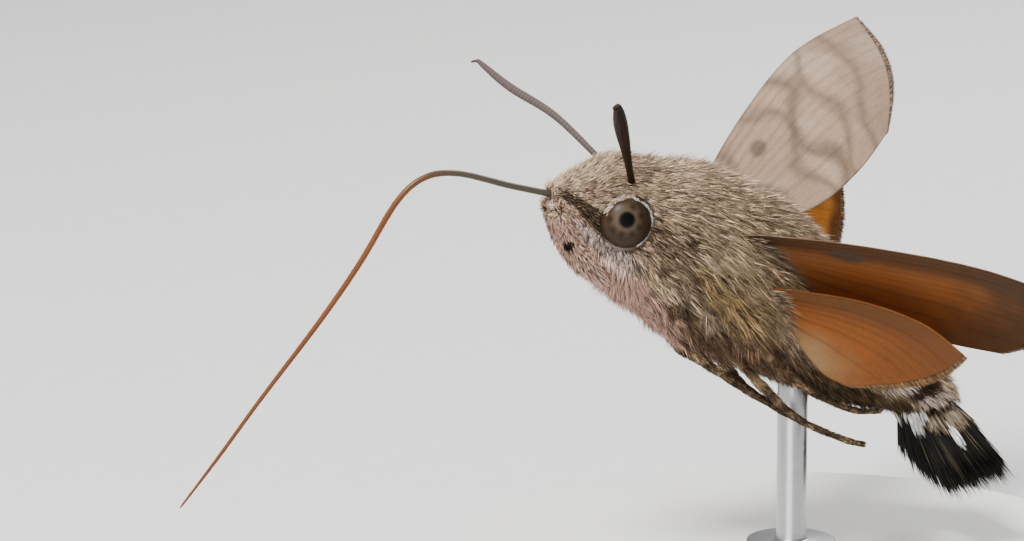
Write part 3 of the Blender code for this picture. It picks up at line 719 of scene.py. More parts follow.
def follow(path, share):
    """Points on a path at shares of its length, and the directions it takes there."""
    where = share * (len(path) - 1)
    return read_rows(path, where), unit(read_rows(path, where + 0.03) - read_rows(path, where - 0.03))


for sign, label in ((1, "left"), (-1, "right")):
    palp_path = [(x * sign, y, z) for x, y, z in PALP_PATH]

    def palp_place(share, angle):
        return tube_place(palp_path, PALP_WIDTHS, PALP_DEPTHS, (1, 0, 0), share, angle)

    def palp_painted_shade(share, angle, points):
        # The stalk is the palp's pink darkened as painted shade between the hairs.
        return np.broadcast_to(PINK_CREAM * 0.4, points.shape)

    palp = long_form("palp", 24, 24, palp_place, palp_painted_shade)
    settle(palp, f"palp_{label}_stalk", fur, "fur", f"palp_{label}")
    count = PALP_HAIRS
    share = coat_draw.uniform(0.02, 0.98, count)
    angle = coat_draw.uniform(-math.pi, math.pi, count)
    root = palp_place(share, angle)
    centre, ahead = follow(palp_path, share)
    out = unit(root - centre)
    at_tip = step(share, 0.88, 0.95)
    whorl = math.pi * at_tip[:, None]
    ahead = unit(np.cross(out, ahead) * np.sin(whorl) - ahead * np.cos(whorl) + out * 0.25)
    length = (coat_draw.uniform(0.3, 0.5, count) * (1 + 0.5 * step(0.6 - share, 0, 0.5)))[:, None]
    tilt = np.radians(coat_draw.uniform(8, 28, count))[:, None]
    tip = root + length * (ahead * np.cos(tilt) + out * np.sin(tilt))
    nearest = find_locks(coat_draw, root, 12)
    tip = tip + (tip[nearest] - tip) * 0.5
    bend = root + length * 0.5 * (ahead * np.cos(tilt * 1.5) + out * np.sin(tilt * 1.5))
    path = bent_lines(root, bend, tip)
    base_colour = np.broadcast_to(PINK_CREAM * 1.14, root.shape).copy()
    base_colour = paint_over(base_colour, 0.7 * step(share, 0.8, 0.95), OLIVE_TAN * 0.8)
    base_colour = paint_over(base_colour, 0.5 * step(waves(root, 0.8, 5), 0.1, 0.6), OLIVE_TAN)
    pale = 0.6 * step(0.55 - share, 0, 0.4) * coat_draw.random(count)
    base_colour = paint_over(base_colour, pale, CREAM_WHITE)
    bare = np.linalg.norm(root * np.array([sign, 1, 1]) - PALP_SPOT, axis=-1)
    base_colour = paint_over(base_colour, step(0.32 - bare, 0, 0.1), DARK_BROWN * 0.3)
    widths = coat_draw.uniform(0.018, 0.03, count)[:, None] * HAIR_TAPER
    uv = np.stack([0.02 + share * 0.96, 0.5 + angle / 6.4], -1)
    keep = clear_of_eyes(path)
    hair = tuft_mesh(
        f"palp_{label}_hair", path[keep], unit(np.cross(out, ahead))[keep], widths[keep],
        hair_colours(coat_draw, base_colour)[keep], uv[keep]
    )
    settle(hair, f"palp_{label}_hair", fur, "fur")


# Eyes: large round domes of hard glossy horn, grey-brown, with painted shade for the soft dark spots seen
# down the facets facing the camera, a painted glow round the middle spot and painted shade towards the edge.
# Each sits in its socket, with a rim of short pale scales over its top and along its rear edge.
EYE_FACING = np.array([0.919, -0.334, 0.208])
EYE_ACROSS = np.array([0.342, 0.940, 0.0])
EYE_RISE = np.array([-0.195, 0.071, 0.978])
# Painted light and shade on the dome, placed where its facets face the camera: pupil and spots, a glow round
# the pupil, a darker edge.
PAINTED_PUPIL = (0.03, 0.08)
PAINTED_SHADE_SPOTS = [
    (-0.78, 0.13), (-0.64, -0.4), (-0.23, -0.6), (0.27, -0.59),
    (0.6, -0.3), (0.7, 0.27), (-0.4, 0.62), (0.3, 0.68),
]
EYE_DARK = (0.022, 0.012, 0.0065)
EYE_BROWN = (0.042, 0.025, 0.014)
EYE_PAINTED_GLOW = (0.1, 0.07, 0.046)
EYE_SPOT_PAINTED_SHADE = (0.01, 0.006, 0.004)
EYE_EDGE_PAINTED_SHADE = (0.03, 0.016, 0.01)
EYE_PUPIL_PAINTED_SHADE = (0.001, 0.001, 0.0012)


def eye_spot(across, rise, sign):
    """Point on the dome seen at a place of its face, in millimetres from the middle."""
    foot = EYE_ACROSS * across + EYE_RISE * rise
    a = np.sum((EYE_FACING / EYE_RADII) ** 2)
    b = 2 * np.sum(foot * EYE_FACING / EYE_RADII ** 2)
    c = np.sum((foot / EYE_RADII) ** 2) - 1
    found = foot + EYE_FACING * (-b + math.sqrt(b * b - 4 * a * c)) / (2 * a)
    return (found + EYE_CENTRE) * np.array([sign, 1, 1]) * MM


def eye_nodes(sign):
    """Gives the builder of one eye's horn: brown, with a pupil, soft spots and edge of painted shade, and a
    painted glow ring.
    """
    def build(tree):
        place = add_node(tree, "TexCoord", out=3)

        def near(spot, inner, outer):
            away = add_node(tree, "VectorMath", {"operation": "DISTANCE"}, {0: place, 1: tuple(spot)}, 1)
            return (1 - (away / MM - inner) / (outer - inner)).limit()

        painted_pupil_place = eye_spot(*PAINTED_PUPIL, sign)
        cloud = add_node(tree, "TexNoise", {}, {"Vector": place, "Scale": 1500.0, "Detail": 3.0})
        colour = blend_colours(tree, cloud, EYE_DARK, EYE_BROWN)
        # Painted glow round the pupil, then painted shade for the spots, for the edge away from the pupil and
        # for the pupil itself.
        glow = near(painted_pupil_place, 0.25, 0.9)
        colour = blend_colours(tree, glow * 0.8, colour, EYE_PAINTED_GLOW)
        for spot in PAINTED_SHADE_SPOTS:
            dark = near(eye_spot(*spot, sign), 0.03, 0.25) * 0.75
            colour = blend_colours(tree, dark, colour, EYE_SPOT_PAINTED_SHADE)
        rim = near(painted_pupil_place, 1.02, 1.28)
        colour = blend_colours(tree, (1 - rim) * 0.8, colour, EYE_EDGE_PAINTED_SHADE)
        colour = blend_colours(tree, near(painted_pupil_place, 0.32, 0.5), colour, EYE_PUPIL_PAINTED_SHADE)
        facets = add_node(tree, "TexVoronoi", {}, {"Vector": place, "Scale": 26000.0})
        bump = add_node(tree, "Bump", {}, {"Height": facets, "Strength": 0.05, "Distance": 0.00001})
        return {
            "Base Color": colour, "Roughness": 0.3 + cloud * 0.1, "Normal": bump, "Specular IOR Level": 0.1,
        }
    return build


for sign, label in ((1, "left"), (-1, "right")):
    begin()
    centre = EYE_CENTRE * np.array([sign, 1, 1])
    bpy.ops.mesh.primitive_uv_sphere_add(segments=96, ring_count=64, radius=MM, location=tuple(centre * MM))
    eye = bpy.context.object
    bpy.ops.transform.resize(value=tuple(EYE_RADII))
    bpy.ops.object.shade_smooth()
    eye_horn = new_material(f"eye_horn_{label}", eye_nodes(sign))
    settle(eye, f"eye_{label}_dome", eye_horn, "eye", f"eye_{label}")

# The rims' tufts, each at an angle round its eye: white ones up the rear edge, pink ones over the top.
REAR_TUFTS = 620
FRONT_TUFTS = 200
RIM_WHITE = np.array([0.62, 0.58, 0.62])
RIM_PINK = np.array([0.62, 0.47, 0.4])
rim_draw = np.random.default_rng(5)


def straight_lines(root, tip, steps=HAIR_STEPS):
    """Centre lines of straight tufts from root to tip."""
    s = np.linspace(0, 1, steps)[None, :, None]
    return root[:, None] * (1 - s) + tip[:, None] * s


for sign, label in ((1, "left"), (-1, "right")):
    rear = rim_draw.uniform(-62, 74, REAR_TUFTS)
    front = rim_draw.uniform(66, 150, FRONT_TUFTS)
    around = np.radians(np.concatenate([rear, front]))
    count = len(around)
    is_rear = np.degrees(around) < 70
    spread = np.where(is_rear, rim_draw.uniform(0.895, 0.95, count), rim_draw.uniform(0.93, 1.04, count))
    bulge = np.sqrt(np.clip(1 - spread ** 2, 0.05, 1))
    ball = np.stack([bulge, spread * np.cos(around), spread * np.sin(around)], -1)
    root = EYE_CENTRE + ball * EYE_RADII
    out = unit(np.stack([np.full(count, 0.9), np.cos(around), np.sin(around)], -1))
    along = np.stack([np.zeros(count), -np.sin(around), np.cos(around)], -1)
    lie = np.where(np.degrees(around) > 60, 1, -1)[:, None]
    along = unit(along * lie + rim_draw.normal(0, 0.16, (count, 3)))
    length = rim_draw.uniform(0.14, 0.26, count)[:, None]
    tip = root + length * unit(along * 0.9 + out * np.where(is_rear, 0.15, 0.4)[:, None])
    path = straight_lines(root, tip, 4)
    path[..., 0] *= sign
    across = np.cross(out, along) * np.array([sign, 1, 1])
    white = np.where(is_rear[:, None], RIM_WHITE, RIM_PINK)
    widths = rim_draw.uniform(0.014, 0.024, count) * (1 + 0.15 * is_rear)
    widths = widths[:, None] * np.array([0.8, 1.0, 0.8, 0.0])
    uv = np.stack([0.05 + (np.degrees(around) + 80) / 300, 0.1 + (spread - 0.94) * 6], -1)
    rim = tuft_mesh(
        f"eye_{label}_rim", path, across, widths, hair_colours(rim_draw, white, 4, 0.45), uv
    )
    settle(rim, f"eye_{label}_rim", fur, "fur")


# Antennae: many short rings of horn in a thin stalk that swells to a club and ends in a small hook.
# Their scales are brown-grey above, and fine teeth stand along the under side.
ANTENNA_PATHS = {
    "left": [
        (1.2, -8.95, 22.2), (1.7, -9.2, 22.7), (3.4, -10.1, 24.3), (6.0, -11.4, 26.15), (8.2, -12.42, 27.6),
    ],
    "right": [
        (-1.1, -9.1, 22.5), (-1.7, -9.7, 23.3), (-4.0, -11.0, 24.95), (-6.4, -12.45, 26.05),
        (-8.4, -13.5, 27.2),
    ],
}
ANTENNA_RADII = {
    "left": [0.2, 0.18, 0.165, 0.165, 0.19, 0.25, 0.31, 0.33, 0.26, 0.11],
    "right": [0.17, 0.16, 0.15, 0.16, 0.175, 0.19, 0.205, 0.2, 0.155, 0.08],
}
# Both antennae share one colour in life: the left is painted darker as shade, the right paler as light.
ANTENNA_PAINTED_LIGHT_COLOURS = {"left": (0.022, 0.009, 0.004), "right": (0.088, 0.066, 0.06)}
ANTENNA_RINGS = 62
TOOTH_TAPER = np.array([1.0, 0.7, 0.0])


def horn_nodes(tree):
    """Horn with a fine covering of flat scales, satin, darker in the joints of its rings."""
    own = add_node(tree, "Attribute", {"attribute_name": "tint"})
    place = add_node(tree, "TexCoord", out=3)
    grain = add_node(tree, "TexNoise", {}, {"Vector": place, "Scale": 14000.0, "Detail": 2.0})
    colour = add_node(tree, "VectorMath", {"operation": "SCALE"}, {0: own, "Scale": 0.7 + grain * 0.6})
    bump = add_node(tree, "Bump", {}, {"Height": grain, "Strength": 0.3, "Distance": 0.00002})
    return {"Base Color": colour, "Roughness": 0.45 + grain * 0.2, "Normal": bump, "Specular IOR Level": 0.08}


horn = new_material("ringed_horn", horn_nodes)
for label in ("left", "right"):
    antenna_path = ANTENNA_PATHS[label]
    antenna_radii = ANTENNA_RADII[label]
    # The stalk and its teeth carry this side's painted light: shaded on the left, lit on the right.
    antenna_painted_light_colour = np.array(ANTENNA_PAINTED_LIGHT_COLOURS[label])

    def antenna_place(share, angle):
        ringed = 1 + 0.015 * np.cos(share * ANTENNA_RINGS * 2 * math.pi)
        radii = read_rows(antenna_radii, share * (len(antenna_radii) - 1))[..., 0] * ringed
        placed = tube_place(antenna_path, [1.0, 1.0], [1.0, 1.0], (0, 0.6, -0.8), share, angle)
        middle = follow(antenna_path, share)[0]
        hook = step(share, 0.95, 1.0)[..., None] * np.array([0.0, -0.16, -0.18])
        return middle + (placed - middle) * radii[..., None] + hook

    def antenna_tint(share, angle, points):
        joint = 0.84 + 0.16 * np.cos(share * ANTENNA_RINGS * 2 * math.pi)
        under = step(np.sin(angle), 0.2, 0.8)
        return paint_over(antenna_painted_light_colour * joint[..., None], 0.5 * under, antenna_painted_light_colour * 0.35)

    antenna = long_form("antenna", 20, ANTENNA_RINGS * 6, antenna_place, antenna_tint)
    settle(antenna, f"antenna_{label}_stalk", horn, "horn", f"antenna_{label}")
    teeth = ANTENNA_RINGS - 8
    share = np.repeat((np.arange(teeth) + 4.5) / ANTENNA_RINGS, 3)
    angle = np.tile(np.radians([55.0, 90.0, 125.0]), teeth)
    root = antenna_place(share, angle)
    middle, ahead = follow(antenna_path, share)
    out = unit(root - middle)
    path = straight_lines(root - out * 0.02, root + out * 0.07 + ahead * 0.05)
    widths = np.full((len(root), 1), 0.026) * TOOTH_TAPER
    comb = tuft_mesh(
        f"antenna_{label}_teeth", path, np.cross(out, ahead), widths,
        np.broadcast_to(antenna_painted_light_colour * 0.4, (len(root), 3, 3)), np.stack([share, angle / 4], -1), flat=1.0
    )
    settle(comb, f"antenna_{label}_teeth", horn, "horn")


# Proboscis: a long supple drinking tube of two half pipes, hooked together edge to edge along its length.
# It leaves the snout between the palps, and its dark horn turns a glossy red-brown further out.
PROBOSCIS_PATH = [
    (0, -12.2, 21.8), (0, -14.6, 22.42), (0, -17.3, 23.2), (0, -19.0, 23.1), (0, -20.4, 22.0),
    (0, -22.2, 19.25), (0, -24.2, 16.6), (0, -27.2, 13.0), (0, -29.2, 10.5), (0, -31.2, 8.1),
]
PROBOSCIS_RADII = [0.165, 0.16, 0.15, 0.15, 0.145, 0.14, 0.13, 0.105, 0.09, 0.05]
PROBOSCIS_BRISTLES = 130
TONGUE_DARK = np.array([0.05, 0.04, 0.028])
TONGUE_RED = np.array([0.13, 0.042, 0.012])
BRISTLE_BROWN = np.array([0.12, 0.08, 0.05])


def tongue_nodes(tree):
    """Glossy horn with fine lengthwise lines and close cross rings."""
    own = add_node(tree, "Attribute", {"attribute_name": "tint"})
    uv = add_node(tree, "UVMap", {"uv_map": "UVMap"})
    stretched = add_node(tree, "VectorMath", {"operation": "MULTIPLY"}, {0: uv, 1: (34.0, 9.0, 1.0)})
    lines = add_node(tree, "TexNoise", {}, {"Vector": stretched, "Scale": 1.0, "Detail": 2.0})
    close = add_node(tree, "VectorMath", {"operation": "MULTIPLY"}, {0: uv, 1: (4.0, 900.0, 1.0)})
    rings = add_node(tree, "TexNoise", {}, {"Vector": close, "Scale": 1.0, "Detail": 1.0})
    colour = add_node(tree, "VectorMath", {"operation": "SCALE"}, {0: own, "Scale": 0.45 + lines * 1.1})
    bump = add_node(tree, "Bump", {}, {"Height": lines + rings * 0.5, "Strength": 0.25, "Distance": 0.00002})
    return {
        "Base Color": colour, "Roughness": 0.24 + rings * 0.14, "Normal": bump, "Specular IOR Level": 0.18,
    }


def proboscis_place(share, angle):
    """Point of the tube, drawn in a little along the two seams between its half pipes."""
    middle = follow(PROBOSCIS_PATH, share)[0]
    placed = tube_place(PROBOSCIS_PATH, [1.0, 1.0], [1.0, 1.0], (1, 0, 0), share, angle)
    seam = 1 - 0.22 * np.exp(-(np.abs(np.abs(angle) - math.pi / 2) / 0.22) ** 2)
    radii = read_rows(PROBOSCIS_RADII, share * (len(PROBOSCIS_RADII) - 1))[..., 0] * seam
    return middle + (placed - middle) * radii[..., None]


def proboscis_tint(share, angle, points):
    """Dark near the snout, red-brown further out."""
    return paint_over(np.broadcast_to(TONGUE_DARK, points.shape), step(share, 0.16, 0.5), TONGUE_RED)


tongue = new_material("tongue_horn", tongue_nodes)
proboscis = long_form("proboscis", 28, 420, proboscis_place, proboscis_tint)
settle(
    proboscis, "proboscis_tube", tongue, "horn", "proboscis_1", "proboscis_2", "proboscis_3", "proboscis_4"
)
bristle_draw = np.random.default_rng(21)
count = PROBOSCIS_BRISTLES
share = bristle_draw.uniform(0.03, 0.62, count)
angle = bristle_draw.uniform(-math.pi, math.pi, count)
root = proboscis_place(share, angle)
middle, ahead = follow(PROBOSCIS_PATH, share)
out = unit(root - middle)
tip = root + (out * 0.06 + ahead * 0.09) * bristle_draw.uniform(0.6, 1.2, count)[:, None]
bristles = tuft_mesh(
    "proboscis_bristles", straight_lines(root - out * 0.01, tip), np.cross(out, ahead),
    np.full((count, 1), 0.011) * TOOTH_TAPER, np.broadcast_to(BRISTLE_BROWN, (count, 3, 3)),
    np.stack([share, 0.5 + angle / 7], -1), flat=1.0
)
settle(bristles, "proboscis_bristles", horn, "horn")


# Wings: thin stiff films on a fan of veins, covered on both sides in dust-fine scales. They are hinged in
# the flank under the fur. Hair covers their base, and a fringe of hair scales edges their outer margin.
WING_THICKNESS = 0.07
WING_CAMBER = 0.05
WING_BULGE = {"forewing": 0.7, "hindwing": 0.8}
# Edges of the films from the hinge outwards: places along the span and along the chord.
FOREWING_LEADING = [(-0.9, 0.0), (1.5, -0.5), (8.0, -0.95), (15.0, -0.7), (20.2, 0.9)]
FOREWING_TRAILING = [(-0.9, 1.5), (1.7, 3.3), (4.8, 4.9), (8.8, 5.6), (12.4, 5.7)]
HINDWING_LEADING = [(-0.9, 0.0), (1.5, -0.3), (6.0, -0.4), (9.6, 0.3), (11.6, 1.8)]
HINDWING_TRAILING = [(-0.9, 1.5), (0.5, 2.8), (1.1, 3.9), (1.7, 4.7), (2.9, 5.1)]
WING_PLANS = {
    "forewing": (FOREWING_LEADING, FOREWING_TRAILING),
    "hindwing": (HINDWING_LEADING, HINDWING_TRAILING),
}
# Each vein's place between the front and the back edge at its root and at its tip, and its height.
WING_VEINS = {
    "forewing": [
        (0, 0, 0.09), (0.07, 0.06, 0.06), (0.14, 0.14, 0.06), (0.24, 0.22, 0.04), (0.34, 0.30, 0.05),
        (0.38, 0.39, 0.04), (0.42, 0.47, 0.05), (0.5, 0.55, 0.04), (0.58, 0.63, 0.05), (0.72, 0.80, 0.05),
        (1, 1, 0.03),
    ],
    "hindwing": [
        (0, 0, 0.07), (0.20, 0.20, 0.05), (0.29, 0.29, 0.04), (0.38, 0.38, 0.05), (0.46, 0.47, 0.04),
        (0.55, 0.56, 0.05), (0.75, 0.76, 0.05), (1, 1, 0.03),
    ],
}
WING_STATION = 6.05
WING_ANGLE = 66.0
HINDWING_OUT, HINDWING_BACK, HINDWING_DROP = 0.6, 2.3, 1.2
# Directions in which each side's wings reach out, and in which each film lies back from its front edge.
WING_SPANS = {"left": (0.91, 0.41, 0.02), "right": (-0.66, 0.66, 0.36)}
WING_CHORDS = {
    "forewing": {"left": (-0.24, 0.60, -0.76), "right": (0.55, 0.74, -0.39)},
    "hindwing": {"left": (0.37, 0.58, -0.73), "right": (0.02, 0.54, -0.84)},
}
WING_GRID = {"forewing": (150, 70), "hindwing": (100, 70)}
FRINGE_HAIRS = {"forewing": 2700, "hindwing": 2100}
BASE_HAIRS = {"forewing": 950, "hindwing": 600}

WING_GREY = np.array([0.28, 0.185, 0.125])
WING_PALE = np.array([0.38, 0.275, 0.205])
WING_DARK = np.array([0.07, 0.045, 0.031])
RUST = np.array([0.15, 0.05, 0.014])
ORANGE = np.array([0.62, 0.22, 0.035])
DEEP_ORANGE = np.array([0.175, 0.054, 0.012])
BUFF = np.array([0.19, 0.115, 0.055])
UMBER = np.array([0.036, 0.015, 0.005])


def wing_frame(side, wing):
    """Root of a wing and its span, chord and upper directions."""
    sign = 1 if side == "left" else -1
    root = body_place(np.array(WING_STATION), np.array(math.radians(WING_ANGLE * sign)), 0.0)
    span = unit(WING_SPANS[side])

    def square_chord(kind):
        across = np.asarray(WING_CHORDS[kind][side], float)
        return unit(across - span * across.dot(span))

    chord = square_chord("forewing")
    upper = np.cross(span, chord)
    if wing == "hindwing":
        root = root + span * HINDWING_OUT + chord * HINDWING_BACK - upper * sign * HINDWING_DROP
        chord = square_chord("hindwing")
        upper = np.cross(span, chord)
    return root, span, chord, upper * sign


def wing_edges(wing, t):
    """Places on a wing's front and back edge, out along the veins by t."""
    return [read_rows(edge, t * (len(edge) - 1)) for edge in WING_PLANS[wing]]


def wing_local(wing, t, f):
    """Place on a wing's film, out along the veins by t and from front to back edge by f."""
    front, back = wing_edges(wing, t)
    gap = back - front
    place = front + gap * f[..., None]
    outward = unit(np.stack([gap[..., 1], -gap[..., 0]], -1))
    place = place + outward * (WING_BULGE[wing] * np.sin(math.pi * f) * t ** 4)[..., None]
    camber = WING_CAMBER * np.linalg.norm(gap, axis=-1) * np.sin(math.pi * f)
    return np.concatenate([place, camber[..., None]], -1)


def wing_ridge(wing, t, f):
    """Height of the veins, which stand up a little from the film."""
    height = np.zeros_like(t)
    front, back = wing_edges(wing, t)
    chord = np.linalg.norm(back - front, axis=-1)
    for start, end, ridge in WING_VEINS[wing]:
        away = np.abs(f - (start + (end - start) * t)) * chord
        height = np.maximum(height, ridge * np.exp(-(away / 0.11) ** 2) * (1 - 0.6 * t))
    return height


# Dark bands across the forewing: share of the span, swing of the wavy line, and half width.
FOREWING_BANDS = [
    (0.2, 0.02, 0.014), (0.27, 0.03, 0.018), (0.36, 0.035, 0.022), (0.56, 0.04, 0.016), (0.63, 0.045, 0.024),
    (0.74, 0.03, 0.012), (0.86, 0.02, 0.014),
]


def forewing_upper(t, f, points):
    """Grey-brown with dark wavy bands and a dark spot."""
    wobble = waves(points, 2.2, 31)
    colour = np.broadcast_to(WING_GREY, points.shape).copy()
    colour = paint_over(colour, 0.5 * step(waves(points, 3.5, 32), 0.0, 0.8), WING_PALE)
    colour = paint_over(colour, 0.55 * step(0.16 - t, 0, 0.12), OLIVE_TAN)
    for place, swing, width in FOREWING_BANDS:
        line = place + swing * np.sin(f * 9.0 + place * 20) + 0.014 * wobble
        colour = paint_over(colour, 0.72 * step(width - np.abs(t - line), -0.03, 0.025), WING_DARK)
    colour = paint_over(colour, 0.35 * step(t, 0.24, 0.36) * step(0.64 - t, 0, 0.1), WING_GREY * 0.6)
    spot = step(0.03 - np.hypot(t - 0.47, (f - 0.3) * 0.4), -0.01, 0.012)
    colour = paint_over(colour, 0.8 * spot, WING_DARK)
    colour = paint_over(colour, 0.45 * step(t, 0.62, 0.95), WING_DARK * 2.0)
    return colour


def forewing_under(t, f, points):
    """Rust, dusky along the front edge, at the base and towards the tip."""
    wobble = waves(points, 1.8, 33)
    colour = np.broadcast_to(RUST, points.shape).copy()
    middle = step(t, 0.3, 0.5) * step(0.85 - t, 0, 0.2) * step(f, 0.2, 0.5)
    colour = paint_over(colour, 0.7 * middle, DEEP_ORANGE)
    root = step(0.34 + 0.05 * wobble - t, 0, 0.2)
    colour = paint_over(colour, root, FLANK_GREY * 0.6)
    outer = step(t + 0.04 * wobble, 0.62, 0.9)
    colour = paint_over(colour, 0.9 * outer, UMBER)
    lead = step(0.3 - f, -0.06, 0.16)
    colour = paint_over(colour, 0.85 * lead, UMBER)
    spot = step(0.05 - np.hypot(t - 0.44, (f - 0.2) * 0.45), -0.01, 0.02)
    colour = paint_over(colour, 0.9 * spot, WING_DARK * 0.6)
    return colour


def hindwing_upper(t, f, points):
    """Orange with a dark base and a dark outer edge."""
    wobble = waves(points, 1.8, 35)
    colour = np.broadcast_to(ORANGE, points.shape).copy()
    colour = paint_over(colour, 0.5 * step(0.3 - t, 0, 0.2), UMBER * 1.5)
    colour = paint_over(colour, 0.85 * step(t + 0.03 * wobble, 0.86, 0.97), UMBER * 1.6)
    colour = paint_over(colour, 0.6 * step(f, 0.82, 1.0), BUFF)
    colour = paint_over(colour, 0.85 * step(0.07 - f, -0.02, 0.04), RUST)
    return colour


def hindwing_under(t, f, points):
    """Deep orange, dusky in front and buff along the rear edge."""
    wobble = waves(points, 1.8, 36)
    colour = np.broadcast_to(DEEP_ORANGE, points.shape).copy()
    colour = paint_over(colour, 0.4 * step(wobble, 0.0, 0.8), RUST)
    colour = paint_over(colour, 0.85 * step(f + 0.07 * wobble - 0.25 * t, 0.42, 0.85), BUFF)
    colour = paint_over(colour, 0.75 * step(0.4 - f, -0.08, 0.3), UMBER * 1.8)
    colour = paint_over(colour, 0.6 * step(0.16 - t, 0, 0.14), FLANK_GREY * 0.7)
    colour = paint_over(colour, 0.8 * step(t + 0.04 * wobble, 0.6, 0.95), RUST * 0.8)
    return colour


def film_nodes(tree):
    """Wing scales: rows of tiny overlapping plates across the veins, with a faint silky gloss."""
    own = add_node(tree, "Attribute", {"attribute_name": "tint"})
    uv = add_node(tree, "UVMap", {"uv_map": "UVMap"})
    rows = add_node(tree, "VectorMath", {"operation": "MULTIPLY"}, {0: uv, 1: (70.0, 260.0, 1.0)})
    scales = add_node(tree, "TexVoronoi", {}, {"Vector": rows, "Scale": 1.0, "Randomness": 0.8})
    tones = add_node(tree, "TexVoronoi", {}, {"Vector": rows, "Scale": 1.0, "Randomness": 0.8}, 1)
    tone = add_node(tree, "SeparateColor", {}, {0: tones})
    long = add_node(tree, "VectorMath", {"operation": "MULTIPLY"}, {0: uv, 1: (9.0, 120.0, 1.0)})
    streaks = add_node(tree, "TexNoise", {}, {"Vector": long, "Scale": 1.0, "Detail": 3.0})
    light = 0.55 + tone * 0.3 + streaks * 0.6
    colour = add_node(tree, "VectorMath", {"operation": "SCALE"}, {0: own, "Scale": light})
    bump = add_node(tree, "Bump", {}, {"Height": scales + streaks, "Strength": 0.3, "Distance": 0.00003})
    return {"Base Color": colour, "Roughness": 0.55 + tone * 0.15, "Normal": bump, "Specular IOR Level": 0.06}


film = new_material("wing_scales", film_nodes)
WING_COLOURS = {
    "forewing": (forewing_upper, forewing_under), "hindwing": (hindwing_upper, hindwing_under),
}
FRINGE_HOLD = 0.12
FRINGE_BROWN = {"forewing": WING_GREY * 0.6, "hindwing": np.array([0.24, 0.13, 0.06])}
fringe_draw = np.random.default_rng(41)
base_draw = np.random.default_rng(42)
for side in ("left", "right"):
    for wing in ("forewing", "hindwing"):
        root, span, chord, upper = wing_frame(side, wing)
        turn = np.stack([span, chord, upper])
        across, deep = WING_GRID[wing]
        begin()
        bpy.ops.mesh.primitive_grid_add(x_subdivisions=across, y_subdivisions=deep, size=1.0)
        piece = bpy.context.object
        mesh = piece.data
        t, f = vertex_places(mesh)[:, :2].T + 0.5
        local = wing_local(wing, t, f)
        local[:, 2] += wing_ridge(wing, t, f) * 0.5
        mesh.vertices.foreach_set("co", ((root + local @ turn) * MM).ravel())
        bpy.ops.object.modifier_add(type="SOLIDIFY")
        piece.modifiers[-1].thickness = WING_THICKNESS * MM
        piece.modifiers[-1].offset = 0.0
        bpy.ops.object.modifier_apply(modifier=piece.modifiers[-1].name)
        smooth_outward()
        solid = (vertex_places(mesh) / MM - root) @ turn.T
        first, second = solid[:len(t)], solid[len(t):]
        above, under = WING_COLOURS[wing]
        vein_dark = (1 - 0.32 * np.clip(wing_ridge(wing, t, f) / 0.05, 0, 1))[:, None]
        shades = [above(t, f, local) * vein_dark, under(t, f, local) * vein_dark]
        if np.mean(first[:, 2]) < np.mean(second[:, 2]):
            shades.reverse()
        tint(mesh, np.concatenate(shades))
        settle(piece, f"{wing}_{side}_film", film, wing, f"{wing}_{side}")

        count = FRINGE_HAIRS[wing]
        f = np.sort(fringe_draw.uniform(0, 1, count))
        t = np.ones(count)
        edge = wing_local(wing, t, f)
        inner = wing_local(wing, t - 0.02, f)
        out = unit(edge - inner)
        length = fringe_draw.uniform(0.3, 0.5, count)[:, None] * (0.5 + 0.5 * np.sin(math.pi * f))[:, None]
        out = unit(out + fringe_draw.normal(0, 0.1, (count, 3)))
        s = np.linspace(0, 1, HAIR_STEPS)[None, :, None]
        start = edge - out * FRINGE_HOLD
        path = start[:, None] + out[:, None] * (length[:, None] + FRINGE_HOLD) * s
        path = root + path @ turn
        pale = step(waves(edge, 1.2, 44), 0.15, 0.5)
        tone = paint_over(np.broadcast_to(FRINGE_BROWN[wing], edge.shape), 0.7 * pale, BUFF * 1.5)
        widths = fringe_draw.uniform(0.017, 0.03, count)[:, None] * HAIR_TAPER
        fringe = tuft_mesh(
            f"{wing}_{side}_fringe", path, np.broadcast_to(chord, (count, 3)), widths,
            hair_colours(fringe_draw, tone), np.stack([0.02 + f * 0.96, np.full(count, 0.5)], -1)
        )
        settle(fringe, f"{wing}_{side}_fringe", fur, wing)

        count = BASE_HAIRS[wing]
        t = 0.2 * base_draw.random(count) ** 1.4
        f = base_draw.uniform(0.02, 0.98, count)
        start = wing_local(wing, t, f)
        way = unit(wing_local(wing, t + 0.05, f) - start + base_draw.normal(0, 0.02, (count, 3)))
        face = np.where(base_draw.random(count) < 0.5, 1.0, -1.0)
        lift = np.array([0.0, 0.0, 1.0]) * (face * base_draw.uniform(0.06, 0.2, count))[:, None]
        long = base_draw.uniform(0.6, 1.5, count)[:, None, None]
        path = start[:, None] + way[:, None] * long * s + lift[:, None] * np.sqrt(s)
        grey = 0.8 * base_draw.random(count)
        tone = paint_over(np.broadcast_to(OLIVE_TAN * 0.6, start.shape), grey, FLANK_GREY)
        widths = base_draw.uniform(0.016, 0.03, count)[:, None] * HAIR_TAPER
        hairs = tuft_mesh(
            f"{wing}_{side}_base_hairs", root + path @ turn, np.broadcast_to(chord, (count, 3)), widths,
            hair_colours(base_draw, tone), np.stack([0.02 + f * 0.96, 0.05 + t], -1)
        )
        settle(hairs, f"{wing}_{side}_base_hairs", fur, wing)


# Legs: slim jointed rods of horn under close brown scales mottled with tan, each rooted by its hip in the
# chest. The fore pair folds against the breast, the middle pair trails below, and the hind pair lies
# along the belly.
HIP_DEPTH = 0.55
